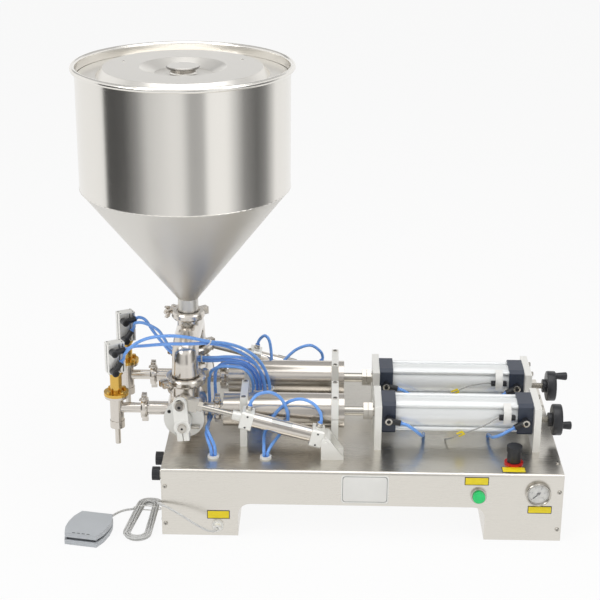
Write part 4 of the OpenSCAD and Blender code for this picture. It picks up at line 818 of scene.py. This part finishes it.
class FILLER_OT_hoses(bpy.types.Operator):
    """Air hoses from the fittings to the bushes; those of the valve drives are separate pieces, fixed in
    place.
    """

    bl_idname = "filler.hoses"
    bl_label = "Air hoses"

    def execute(self, context):
        sizes = context.scene.filler_sizes
        parts = [hose(p, 0, sizes) for p in LONG_HOSES]
        parts += [hose(p, y, sizes) for p in CAP_HOSES for y in HEADS]
        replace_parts(piece("air_hose_runs", "frame", parts), "air_hoses")
        for side, y in zip(SIDES, HEADS):
            parts = [hose(p, y, sizes) for p in ACTUATOR_HOSES[side]]
            bent = piece(side + "_drive_hoses", None, parts)
            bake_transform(bent)
            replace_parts(bent, side + "_actuator_hoses")
        return {"FINISHED"}


# Ties, trims and fasteners

# Ties: middle above the top plate, axis, long way and half sizes
HOSE_TIES = (((-280.5, -94.5, 197.5), (61, 41, -20), (0, -7, 7), (9, 4)),
             ((-298, -29.5, 137), (55, -10, 1), (0, -3, 8), (8.2, 4)),
             ((-188, -5, 68), (0, 0, 1), (1, 0, 0), (23, 16)))
TIE_T, LOCK_L, LOCK_WIDER, LOCK_H, LOCK_CORNER, LOCK_EDGE = 1.1, 5, 1.4, 3.4, 0.6, 0.4


class FILLER_OT_hose_ties(bpy.types.Operator):
    """White bands round the two pairs of hoses and round the bundle of six, each with its lock."""

    bl_idname = "filler.hose_ties"
    bl_label = "Hose ties"

    def execute(self, context):
        width = context.scene.filler_sizes.tie_w / MM
        parts = []
        for middle, axis, long_way, half in HOSE_TIES:
            middle = np.add(middle, (0, 0, TOP))
            axis = unit(axis)
            long_way = unit(long_way - np.dot(long_way, axis) * axis)
            parts.append((band(middle, axis, long_way, half, width, TIE_T), "white"))
            at = middle - half[1] * np.cross(axis, long_way)
            lock = block((LOCK_L, width + LOCK_WIDER, LOCK_H), at, LOCK_CORNER, LOCK_EDGE, long_way, axis)
            parts.append((lock, "white"))
        piece("hose_ties", "frame", parts, 50)
        return {"FINISHED"}


# Panel screws: x on the front and back, y on the ends, their heights, the one on the top plate, and how
# high a head is as a share of its width
SCREW_X, SCREW_Y, SCREW_HEIGHTS, TOP_SCREW, SCREW_RISE = 353, 195, (98, 23), (354.4, -163.7), 0.28


class FILLER_OT_screws(bpy.types.Operator):
    """Cross-slotted pan screws that hold the base's panels."""

    bl_idname = "filler.screws"
    bl_label = "Panel screws"

    def execute(self, context):
        d = context.scene.filler_sizes.panel_screw_d / MM
        places = [((*TOP_SCREW, TOP), Z)]
        for sign in SIGNS:
            for z in SCREW_HEIGHTS:
                places += [((sign * SCREW_X, y, z), out) for y, out in ((FRONT, -Y), (BACK, Y))]
                places += [((x, sign * SCREW_Y, z), out) for x, out in ((LEFT, -X), (RIGHT, X))]
        heads = [cross_screw(d, SCREW_RISE * d, at, out) for at, out in places]
        piece("panel_screws", "frame", headed(heads, "chrome"))
        return {"FINISHED"}


# Bare plates: their middle in x and z on the front, or x and y on the top, then width and height
FRONT_LABELS = ((-257.5, 42.5, 41, 17), (319.5, 62.5, 43, 15), (204.5, 118, 43, 16))
TOP_LABEL = (271.5, -193.5, 43, 21)
NAME_PLATE = (5.5, 98, 85, 56)
# Their corners, and their layers: how much smaller, how high as a share of the film, and the finish
LABEL_CORNER, LABEL_LAYERS = 1.2, ((0, 1, "ink"), (2.6, 1.16, "yellow"))
NAME_CORNER, NAME_LAYERS = 5, ((0, 1, "paper"), (5, 1.12, "ink"), (6.4, 1.24, "paper"))
FILM_EDGE = 0.1


def film(middle, w, h, up, corner, layers, t):
    """The layers of a bare plate: film, a printed line inside its edge, and the field in it."""
    return [(block((w - inset, h - inset, 2 * t * high), middle, corner, FILM_EDGE, X, up), finish)
            for inset, high, finish in layers]


class FILLER_OT_labels(bpy.types.Operator):
    """The bare labels and the bare name plate."""

    bl_idname = "filler.labels"
    bl_label = "Bare labels"

    def execute(self, context):
        t = context.scene.filler_sizes.label_t / MM
        parts = []
        for x, z, w, h in FRONT_LABELS:
            parts += film((x, FRONT, z), w, h, Z, LABEL_CORNER, LABEL_LAYERS, t)
        x, y, w, h = TOP_LABEL
        parts += film((x, y, TOP), w, h, Y, LABEL_CORNER, LABEL_LAYERS, t)
        x, z, w, h = NAME_PLATE
        parts += film((x, FRONT, z), w, h, Z, NAME_CORNER, NAME_LAYERS, t)
        piece("labels", "frame", parts)
        return {"FINISHED"}


GAUGE = np.array([315, FRONT, 95.5])
DIAL_OUT, DIAL_T, DIAL_EDGE = 1.5, 0.3, 0.05
DIAL_FROM, DIAL_SWEEP, DIAL_TICKS, TICKS_PER_NUMBER = math.radians(225), math.radians(-270), 26, 5
# Ticks of the dial, plain and numbered: where they start as a share of the radius, and their width
TICKS, TICKS_TO, TICK_T = ((0.84, 0.4), (0.76, 0.7)), 0.92, 0.16
# Strokes of the dial's numbers on a grid one wide and two high
STROKES = {"0": [(0, 0), (1, 0), (1, 2), (0, 2), (0, 0)],
           "1": [(0.5, 0), (0.5, 2)],
           "2": [(0, 2), (1, 2), (1, 1), (0, 1), (0, 0), (1, 0)],
           "4": [(0, 2), (0, 0.8), (1.1, 0.8), (0.8, 0.8), (0.8, 2), (0.8, 0)],
           "6": [(1, 2), (0, 2), (0, 0), (1, 0), (1, 1), (0, 1)],
           "8": [(0, 1), (0, 2), (1, 2), (1, 0), (0, 0), (0, 1), (1, 1)]}
STROKE_W, NUMBER_H, NUMBER_R, NUMBER_STEP = 0.36, 1.5, 0.6, 2
BEZEL_IN, BEZEL_OUT, BEZEL_T, BEZEL_EDGE, BEZEL_GAP = 18.95, 22.6, 8, 1.2, 0.1
GLASS_R, GLASS_T, GLASS_OUT, GLASS_EDGE = 18.9, 0.8, 5, 0.1


def dial_number(number, middle):
    """Strokes of a number round its middle on the dial."""
    parts = []
    for i, digit in enumerate(number):
        left = (1.5 * i - 0.75 * len(number) + 0.25) * NUMBER_H
        line = np.array(STROKES[digit]) * NUMBER_H + (left, -NUMBER_H)
        parts.append((swept(middle + line[:, :1] * X + line[:, 1:] * Z, STROKE_W / 2, 6), "ink"))
    return parts


class FILLER_OT_gauge(bpy.types.Operator):
    """Dial with ticks and plain numbers, its flat glass and the rounded bright bezel."""

    bl_idname = "filler.gauge"
    bl_label = "Pressure gauge"

    def execute(self, context):
        r = context.scene.filler_sizes.dial_r / MM
        face = GAUGE - (DIAL_OUT + DIAL_T) * Y
        parts = [(disc_plate(r, DIAL_T, face, Y, DIAL_EDGE), "paper")]
        for k in range(DIAL_TICKS):
            a = DIAL_FROM + DIAL_SWEEP * k / (DIAL_TICKS - 1)
            out = around(a, X, Z)
            numbered = k % TICKS_PER_NUMBER == 0
            start, width = TICKS[numbered]
            ends = [face + out * r * share for share in (start, TICKS_TO)]
            parts.append((strip(ends, np.cross(out, Y), width, TICK_T), "ink"))
            if numbered:
                parts += dial_number(str(k // TICKS_PER_NUMBER * NUMBER_STEP), face + out * r * NUMBER_R)
        piece("gauge_dial", "frame", parts)
        bezel = ring(BEZEL_IN, BEZEL_OUT, BEZEL_T, GAUGE - BEZEL_GAP * Y, -Y, BEZEL_EDGE, 64)
        piece("gauge_bezel", "frame", [(bezel, "chrome")])
        glass = disc_plate(GLASS_R, GLASS_T, GAUGE - GLASS_OUT * Y, -Y, GLASS_EDGE)
        piece("gauge_glass", "frame", [(glass, "glass")])
        return {"FINISHED"}


BUTTON, BUTTON_OUT = np.array([209, FRONT, 89.5]), 10
# The cap's side starts and ends below its rim; the dome's radius is a share of the cap's
CAP_FROM, CAP_TO, DOME_R, DOME_H = -4, -0.6, 0.97, 0.9


class FILLER_OT_button(bpy.types.Operator):
    """Low dome on the start button's cap: its height falls with the square of the radius."""

    bl_idname = "filler.button"
    bl_label = "Button cap"

    def execute(self, context):
        low, high = node_box("start_button")[:, 0]
        r = (high - low) / 2
        share = np.linspace(1, 0, 9)[:-1]
        rows = [(r, CAP_FROM), (r, CAP_TO)] + [(DOME_R * r * k, DOME_H * (1 - k * k)) for k in share]
        cap = turned(rows, BUTTON - BUTTON_OUT * Y, -Y, 48)
        piece("button_cap", "button", [(cap, "green")])
        return {"FINISHED"}


# Elbows: their sleeve's place and length, their height and their banjo bolt
SLEEVE_OUT, SLEEVE_L, BANJO_H, BANJO_D, BANJO_HEAD = 8, 22, 14, 13.4, 2
# Those on the cylinders' caps, and those on the nozzles' air blocks by height and lean
CAP_MIDS, CAP_HALF, CAP_LEANS = (49, 299), 31, np.radians([-14, 210])
BLOCK_ELBOWS = ((306, math.radians(8)), (268, math.radians(52)))
BLOCK_TURN, BLOCK_HALF, BLOCK_ELBOW_X = math.radians(30), (16, 10), -9
BLOCK_RIGHT, BLOCK_OUT = around(BLOCK_TURN, X, Y), around(BLOCK_TURN, -Y, X)
# Release collars: the hose's hole, then outer radius, length, eased edge and how deep they sit
COLLAR_HOLE, ELBOW_COLLAR, DRIVE_COLLAR = 3.05, (4.9, 2.6, 0.5, 0.2), (4.6, 2.2, 0.4, 0.1)
# Valve drives: pivot, tilt, the middles of the end blocks, and the sleeves on them as radius and height
PIVOT, TILT, DRIVE_BLOCKS = np.array([-65, 142.6, 165]), math.radians(14.42), (18, 149)
DRIVE_SLEEVE, SLEEVE_FROM = ((5.6, 0), (6.2, 0.5), (6.2, 4), (5.3, 4.6), (5.3, 7.4), (4.9, 7.8)), 18


def collar(sizes, end, along):
    """The blue release collar round a hose at the end of its sleeve."""
    outer, t, edge, deep = sizes
    return ring(COLLAR_HOLE, outer, t, end - deep * along, along, edge, 24), "collar"


def elbow_trim(base, out, along, bolt):
    """Banjo bolt on an elbow's face and the collar round its hose."""
    head = socket_bolt(BANJO_D, BANJO_HEAD, base + out * (BANJO_H - SUNK), out)
    return headed([head], bolt) + [collar(ELBOW_COLLAR, base + out * SLEEVE_OUT + along * SLEEVE_L, along)]


def on_drive(sign, u, h=0.0, out=0.0):
    """Point of a valve drive: u from the pivot to the crank, h square to it, out from its middle plane."""
    return (PIVOT + u * around(TILT, -X, Z) + h * around(TILT, Z, X) + out * Y) * (1, sign, 1)


class FILLER_OT_fittings(bpy.types.Operator):
    """Bolts and blue collars on the push-in fittings, and the bright sleeves on the valve drives."""

    bl_idname = "filler.fittings"
    bl_label = "Fitting trims"

    def execute(self, context):
        parts = []
        for y in HEADS:
            for x, lean in zip(CAP_MIDS, CAP_LEANS):
                base = np.array([x, y - CAP_HALF, AXIS])
                parts += elbow_trim(base, -Y, around(lean, X, Z), "chrome")
            for z, lean in BLOCK_ELBOWS:
                base = np.array([NOZZLE_X, y, z]) + BLOCK_ELBOW_X * BLOCK_RIGHT + BLOCK_HALF[1] * BLOCK_OUT
                parts += elbow_trim(base, BLOCK_OUT, around(lean, BLOCK_RIGHT, Z), "black")
        piece("fitting_trims", "frame", parts)
        for side, sign in zip(SIDES, SIGNS):
            parts = []
            for u in DRIVE_BLOCKS:
                base = on_drive(sign, u, SLEEVE_FROM)
                up = unit(base - on_drive(sign, u))
                parts.append((turned(DRIVE_SLEEVE, base, up, 24), "chrome"))
                parts.append(collar(DRIVE_COLLAR, base + up * DRIVE_SLEEVE[-1][1], up))
            piece(side + "_drive_fittings", side + "_actuator", parts)
        return {"FINISHED"}


# Sensor on each air cylinder; along Y its places count from the head's axis
SENSOR_AT, SENSOR_SIZE = np.array([265, -35, 196]), np.array([30, 9, 8])
SENSOR_CORNER, SENSOR_EDGE = 1.5, 0.8
SENSOR_SCREWS, SENSOR_SCREW_D, SENSOR_SCREW_H = (-11, 11), 5, 1.6
CLAMP = [(265, -36, 183), (265, -38, 189), (265, -39.6, 196), (265, -39, 203), (265, -35.5, 209.5),
         (265, -29, 215), (265, -22, 218.5)]
CLAMP_W, CLAMP_T, CLAMP_STEPS = 14, 1.2, 6
LEADS = ([(251, -35, 196), (243, -36, 193), (230, -38, 185), (216, -39, 177.5), (200, -38, 170),
          (181.5, -36, 162.5), (168, -28, 151), (160, -14, 141), (157, -3, 135.5), (156.5, 2, 131.5)],
         [(251, -35, 196), (243, -36, 197), (228, -38, 196), (211, -39, 193), (195, -41, 187),
          (181.5, -41, 180), (168, -38, 172), (157, -30, 160), (151, -17, 147), (149, -4, 137),
          (148.5, 2, 131.5)])
LEAD_STEPS, LEAD_SIDES = 8, 12
TAG_STOP, TAG_SIZE, TAG_CORNER, TAG_EDGE = 5, (15, 10, 0.9), 0.8, 0.2


class FILLER_OT_sensors(bpy.types.Operator):
    """Position sensors on the air cylinders: body with two screws, strap, lead and a yellow tag."""

    bl_idname = "filler.sensors"
    bl_label = "Position sensors"

    def execute(self, context):
        lead_r = context.scene.filler_sizes.lead_d / MM / 2
        bodies, straps, leads = [], [], []
        for y, stops in zip(HEADS, LEADS):
            stops = np.array(stops) + y * Y
            centre = SENSOR_AT + y * Y
            bodies.append((block(SENSOR_SIZE, centre, SENSOR_CORNER, SENSOR_EDGE, X, Z), "black"))
            for x in SENSOR_SCREWS:
                at = centre + x * X - (SENSOR_SIZE[2] / 2 - SUNK) * Y
                bodies += headed([cross_screw(SENSOR_SCREW_D, SENSOR_SCREW_H, at, -Y)], "black")
            straps.append((strip(smooth(CLAMP, CLAMP_STEPS) + y * Y, X, CLAMP_W, CLAMP_T), "white"))
            leads.append((swept(smooth(stops, LEAD_STEPS), lead_r, LEAD_SIDES), "lead"))
            along = unit(stops[TAG_STOP] - stops[TAG_STOP + 1])
            tag = block(TAG_SIZE, stops[TAG_STOP], TAG_CORNER, TAG_EDGE, along, np.cross(Y, along))
            leads.append((tag, "yellow"))
        piece("sensor_bodies", "frame", bodies)
        piece("sensor_straps", "frame", straps, 50)
        piece("sensor_leads", "frame", leads)
        return {"FINISHED"}


# Split plates: places along X, top, their bolts' distance from the head's axis and the height of the heads
BARREL_PLATES, TOWER_TOP, TOWER_BOLT_Y, TOWER_HEAD = (-216.5, -49.5), 230, 34.5, 1.4
# Outer cylinder plate: its face, its bolts' distance from the head's axis and the height of the heads
OUTER_FACE, OUTER_BOLT, OUTER_HEAD = 326, 23, 5


class FILLER_OT_plate_bolts(bpy.types.Operator):
    """Socket bolts in the tops of the split plates and in the outer cylinder plate."""

    bl_idname = "filler.plate_bolts"
    bl_label = "Plate bolts"

    def execute(self, context):
        d = context.scene.filler_sizes.bolt_d / MM
        heads = [socket_bolt(d, TOWER_HEAD, (x, y + s * TOWER_BOLT_Y, TOWER_TOP - SUNK), Z)
                 for x in BARREL_PLATES for y in HEADS for s in SIGNS]
        x = OUTER_FACE - SUNK
        heads += [socket_bolt(d, OUTER_HEAD, (x, y + s * OUTER_BOLT, AXIS + t * OUTER_BOLT), X)
                  for y in HEADS for s in SIGNS for t in SIGNS]
        piece("plate_bolts", "frame", headed(heads, "chrome"))
        return {"FINISHED"}


COVER_FACE, COVER_SCREWS, COVER_SCREW_R = 121, np.radians([62.6, 152.6, 242.6]), 30.4
COVER_SCREW_D, COVER_SCREW_H = 6.5, 1.2
# Heads on the shaft's end and on the rod's bolt: diameter, height and the pit's share
SHAFT_END, SHAFT_HEAD, SHAFT_PIT = 164, (17, 1.6), 0.12
ROD_BOLT_END, ROD_BOLT_HEAD, ROD_BOLT_PIT = 167.4, (14, 2), 0.2
EYE_X, EYE_Z = -328.8, 232.8
# Turned profiles as radius and height, with where they start
STOP_PIN, STOP_PIN_AT = ((2.7, 0), (3.3, 0.6), (3.3, 15.4), (2.7, 16)), (-312, 124, 174)
PLUG, PLUG_AT = ((8.6, 0), (8.6, 9), (7.8, 10), (5, 10), (5, 14), (4.4, 14.6)), (FEED_X, -18.5, 334)


class FILLER_OT_valve_details(bpy.types.Operator):
    """Screws and stop pins on the valve covers, centred shaft ends, rod bolts and the manifold's plug."""

    bl_idname = "filler.valve_details"
    bl_label = "Valve details"

    def execute(self, context):
        parts = []
        for side, sign in zip(SIDES, SIGNS):
            out = sign * Y
            for a in COVER_SCREWS:
                at = np.array([FEED_X, 0, AXIS]) + COVER_SCREW_R * around(a, X, Z)
                screw = socket_bolt(COVER_SCREW_D, COVER_SCREW_H, at + COVER_FACE * out, out)
                parts += headed([screw], "black")
            parts.append((turned(STOP_PIN, np.multiply(STOP_PIN_AT, (1, sign, 1)), X, 20), "chrome"))
            end = socket_bolt(*SHAFT_HEAD, (FEED_X, sign * (SHAFT_END - SUNK), AXIS), out, SHAFT_PIT)
            piece(side + "_shaft_end", side + "_valve", headed([end], "chrome"))
            eye = (EYE_X, sign * (ROD_BOLT_END - SUNK), EYE_Z)
            bolt = socket_bolt(*ROD_BOLT_HEAD, eye, out, ROD_BOLT_PIT)
            piece(side + "_rod_bolt", side + "_fork", headed([bolt], "bar"))
        parts.append((turned(PLUG, PLUG_AT, -Y, 6), "chrome"))
        piece("valve_details", "frame", parts)
        return {"FINISHED"}


BLOCK_TOP, BLOCK_LOW = 320, 261
SOCKET_X, SOCKET_Y, SOCKET_D, SOCKET_H = 12.2, 6.4, 5.4, 0.7
# Grooves in the blocks' faces: distance along the face, distance of the face, its direction
GROOVES = ((5, BLOCK_HALF[1], BLOCK_OUT), (12, BLOCK_HALF[1], BLOCK_OUT), (0, BLOCK_HALF[0], BLOCK_RIGHT))
GROOVE_W, GROOVE_T, GROOVE_SHORT = 1.8, 0.3, 2
THRUST_IN, THRUST_OUT, THRUST_T, THRUST_EDGE, THRUST_DROP = 11, 13.5, 4, 0.6, 4.2


class FILLER_OT_nozzle_details(bpy.types.Operator):
    """Corner sockets, sensor grooves and the thrust rings of the nozzles' air blocks."""

    bl_idname = "filler.nozzle_details"
    bl_label = "Nozzle details"

    def execute(self, context):
        parts = []
        for y in HEADS:
            middle = NOZZLE_X * X + y * Y
            top = middle + (BLOCK_TOP - SUNK) * Z
            for s in SIGNS:
                for t in SIGNS:
                    at = top + s * SOCKET_X * BLOCK_RIGHT + t * SOCKET_Y * BLOCK_OUT
                    parts += headed([socket_bolt(SOCKET_D, SOCKET_H, at, Z)], "alloy")
                for along, half, out in GROOVES:
                    wide = np.cross(Z, out)
                    face = middle + s * half * out + along * wide
                    run = [face + z * Z for z in (BLOCK_LOW + GROOVE_SHORT, BLOCK_TOP - GROOVE_SHORT)]
                    # The grooves are dark strips on the faces: painted shade
                    parts.append((strip(run, wide, GROOVE_W, GROOVE_T), "recess"))
            low = middle + (BLOCK_LOW - THRUST_DROP) * Z
            thrust = ring(THRUST_IN, THRUST_OUT, THRUST_T, low, Z, THRUST_EDGE, 40)
            parts.append((thrust, "brass"))
        piece("nozzle_details", "frame", parts)
        return {"FINISHED"}


DRIVE_R, DRIVE_WALL, DRIVE_RUN, DRIVE_EDGE = 13.7, 0.5, (28.5, 138.5), 0.1
DRIVE_FACE, DRIVE_SOCKETS, DRIVE_SOCKET_D, DRIVE_SOCKET_H = 17, (-11, 11), 6.4, 0.8
# The drive's bare label: its run, its lean, and its layers as width, thickness and finish
DRIVE_LABEL, LABEL_LEAN, LABEL_STRIPS = (66, 104), math.radians(50), ((8, 0.6, "ink"), (6.6, 0.9, "paper"))


class FILLER_OT_drive_details(bpy.types.Operator):
    """The polished tube of each valve drive, sockets in its end blocks and a bare white label."""

    bl_idname = "filler.drive_details"
    bl_label = "Valve drive details"

    def execute(self, context):
        for side, sign in zip(SIDES, SIGNS):
            start, end = (on_drive(sign, u) for u in DRIVE_RUN)
            span = measured([start, end])
            tube = ring(DRIVE_R - DRIVE_WALL, DRIVE_R, span, start, end - start, DRIVE_EDGE, 64)
            piece(side + "_drive_tube", side + "_actuator", [(tube, "pipe")])
            parts = []
            for out in SIGNS:
                for u in DRIVE_BLOCKS:
                    for h in DRIVE_SOCKETS:
                        at = on_drive(sign, u, h, out * (DRIVE_FACE - SUNK))
                        head = socket_bolt(DRIVE_SOCKET_D, DRIVE_SOCKET_H, at, out * sign * Y)
                        parts += headed([head], "alloy")
            square = on_drive(sign, 0, 1) - on_drive(sign, 0)
            up, out = math.sin(LABEL_LEAN), math.cos(LABEL_LEAN)
            run = [on_drive(sign, u, DRIVE_R * up, DRIVE_R * out) for u in DRIVE_LABEL]
            for width, thick, finish in LABEL_STRIPS:
                parts.append((strip(run, around(LABEL_LEAN, square, -sign * Y), width, thick), finish))
            piece(side + "_drive_details", side + "_actuator", parts)
        return {"FINISHED"}


RIM_Z, CONE_TOP, HOPPER_R = 815, 598, 190
# Weld beads: radius, depth of the girth and of the seam, the girth's ripples, the seam's end below the rim
WELD_R, GIRTH_DEEP, SEAM_DEEP, RIPPLE, RIPPLES, SEAM_SHORT = 1.1, 0.5, 0.3, 0.25, 90, 5
LID_STEP, LID_VENTS, VENT_D, VENT_H = 814.3, ((-433.9, 35.5), (-224, 59.7)), 6, 0.6
# Side of the lid's knob, as radius and height
KNOB_SIDE = ((22.2, 805), (22.2, 810.2), (28.1, 811.1), (30.15, 813.2), (28.6, 814.9))


class FILLER_OT_hopper_details(bpy.types.Operator):
    """Weld beads on the hopper, with the girth p(a) = axis + (R + ripple * cos 90a) * (cos a, sin a), the
    turned side of the lid's knob and the lid's two vents."""

    bl_idname = "filler.hopper_details"
    bl_label = "Hopper details"

    def execute(self, context):
        axis = FEED_X * X
        a = circle(8 * RIPPLES)
        r = HOPPER_R - GIRTH_DEEP + RIPPLE * np.cos(RIPPLES * a)
        girth = axis + CONE_TOP * Z + r * around(a, X, Y)
        h = np.linspace(CONE_TOP, RIM_Z - SEAM_SHORT, 140)[:, None]
        seam = axis + (HOPPER_R - SEAM_DEEP) * Y + h * Z
        piece("hopper_welds", "frame",
              [(swept(girth, WELD_R, 8, closed=True), "hopper"), (swept(seam, WELD_R, 8), "hopper")])
        # The knob's side is in the darkened bar finish: painted shade
        piece("lid_knob_side", "lid", [(turned(KNOB_SIDE, axis, Z, 96), "bar")], 50)
        # The vents' holes are dark pits: painted shade
        vents = [socket_bolt(VENT_D, VENT_H, (x, y, LID_STEP - SUNK), Z) for x, y in LID_VENTS]
        piece("lid_vents", "lid", headed(vents, "hopper"))
        return {"FINISHED"}


PEDAL_AT, PEDAL_TURN, PEDAL_OPEN = np.array([-493, -213, 0]), math.radians(-11), math.radians(3)
# Treadle slots: the treadle's front edge, the slots' row, their places, half length, width and thickness
PEDAL_FRONT, DASH_Y, DASHES = -45.5, -41.5, (-13.5, -4.5, 4.5, 13.5)
DASH_HALF, DASH_W, DASH_T = 2.8, 1.8, 0.4


class FILLER_OT_pedal_marks(bpy.types.Operator):
    """Four pressed slots along the treadle's front edge, drawn as dark strips of painted shade."""

    bl_idname = "filler.pedal_marks"
    bl_label = "Pedal slots"

    def execute(self, context):
        right = around(PEDAL_TURN, X, Y)
        ahead = np.cross(Z, right)
        top = node_box("treadle")[1, 2] - (DASH_Y - PEDAL_FRONT) * math.tan(PEDAL_OPEN)
        row = PEDAL_AT + DASH_Y * ahead + top * Z
        runs = [[row + (x + s * DASH_HALF) * right for s in SIGNS] for x in DASHES]
        parts = [(strip(run, ahead, DASH_W, DASH_T), "recess") for run in runs]
        piece("treadle_slots", "pedal_plate", parts)
        return {"FINISHED"}


WHEEL_Z, WHEEL_X, HANDLE_TURN = 177, (344, 353), np.radians([215, 0])
# Profiles of the wheel, its handle and the screw's plain nose, as radius and height
WHEEL = ((0.5, 0), (12.4, 0), (13, 0.6), (13, 6.9), (13.6, 7.5), (26.6, 7.5), (28.2, 8.1), (29, 9.6),
         (29, 22.6), (28.6, 24), (27.4, 25), (22.6, 25), (21.4, 24.4), (20.6, 22), (20.2, 17.8),
         (19.4, 17), (12.6, 17), (12, 17.6), (12, 21), (11, 22), (0.5, 22))
HANDLE = ((5.4, 0), (6, 0.6), (6.5, 8), (7.4, 18), (7.8, 22), (7.6, 24.4), (6.4, 25.6), (4.5, 26))
HANDLE_R, HANDLE_FROM = 21, 21
NOSE = ((4, 0), (4, 6.5))
SCREW_R, THREAD_PITCH, THREAD_DEPTH, THREAD_FROM, THREAD_INTO = 5.95, 1.75, 0.8, 6, 1


class FILLER_OT_handwheels(bpy.types.Operator):
    """Volume handwheels: turned wheel and handle, and a screw whose radius follows the thread,
    r(x, a) = R - depth * |2 * frac(x / pitch - a / turn) - 1|."""

    bl_idname = "filler.handwheels"
    bl_label = "Handwheels"

    def execute(self, context):
        for side, y, wheel_x, turn in zip(SIDES, HEADS, WHEEL_X, HANDLE_TURN):
            axis = y * Y + WHEEL_Z * Z
            tip = node_box(side + "_handwheel")[0, 0]
            x = np.linspace(tip + THREAD_FROM, wheel_x + THREAD_INTO, 420)[:, None, None]
            a = circle(32)
            wave = np.abs(2 * ((x / THREAD_PITCH - a / (2 * np.pi)) % 1.0) - 1)
            screw = axis + x * X + (SCREW_R - THREAD_DEPTH * wave) * around(a, Y, Z)
            grip = axis + (wheel_x + HANDLE_FROM) * X + HANDLE_R * around(turn, Z, -Y)
            parts = [(turned(WHEEL, axis + wheel_x * X, X, 72), "black"), (turned(HANDLE, grip, X), "black"),
                     (loft(screw), "chrome"), (turned(NOSE, axis + tip * X, X), "chrome")]
            made = piece(side + "_wheel_dressed", side + "_wheel", parts)
            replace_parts(made, side + "_handwheel")
        return {"FINISHED"}


class FILLER_PT_panel(bpy.types.Panel):
    """Sizes, colours and the operators, in the order in which main() calls them."""

    bl_label = "Filling machine"
    bl_idname = "FILLER_PT_panel"
    bl_space_type = "VIEW_3D"
    bl_region_type = "UI"
    bl_category = "Filler"

    def draw(self, context):
        for group in (context.scene.filler_sizes, context.scene.filler_colours):
            for name in group.__annotations__:
                self.layout.prop(group, name)
        for operator in OPERATORS:
            self.layout.operator(operator.bl_idname)


OPERATORS = (FILLER_OT_finishes, FILLER_OT_stage, FILLER_OT_cord, FILLER_OT_hoses, FILLER_OT_hose_ties,
             FILLER_OT_screws, FILLER_OT_labels, FILLER_OT_gauge, FILLER_OT_button, FILLER_OT_fittings,
             FILLER_OT_sensors, FILLER_OT_plate_bolts, FILLER_OT_valve_details, FILLER_OT_nozzle_details,
             FILLER_OT_drive_details, FILLER_OT_hopper_details, FILLER_OT_pedal_marks, FILLER_OT_handwheels)
CLASSES = (FillerSizes, FillerColours, *OPERATORS, FILLER_PT_panel)


def register():
    """Register the classes and hang the two property groups on the scene."""
    for kind in CLASSES:
        bpy.utils.register_class(kind)
    bpy.types.Scene.filler_sizes = PointerProperty(type=FillerSizes)
    bpy.types.Scene.filler_colours = PointerProperty(type=FillerColours)


def unregister():
    """Undo register()."""
    del bpy.types.Scene.filler_colours
    del bpy.types.Scene.filler_sizes
    for kind in reversed(CLASSES):
        bpy.utils.unregister_class(kind)


def main():
    """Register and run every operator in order."""
    register()
    for operator in OPERATORS:
        group, name = operator.bl_idname.split(".")
        getattr(getattr(bpy.ops, group), name)()


if __name__ == "__main__":
    main()
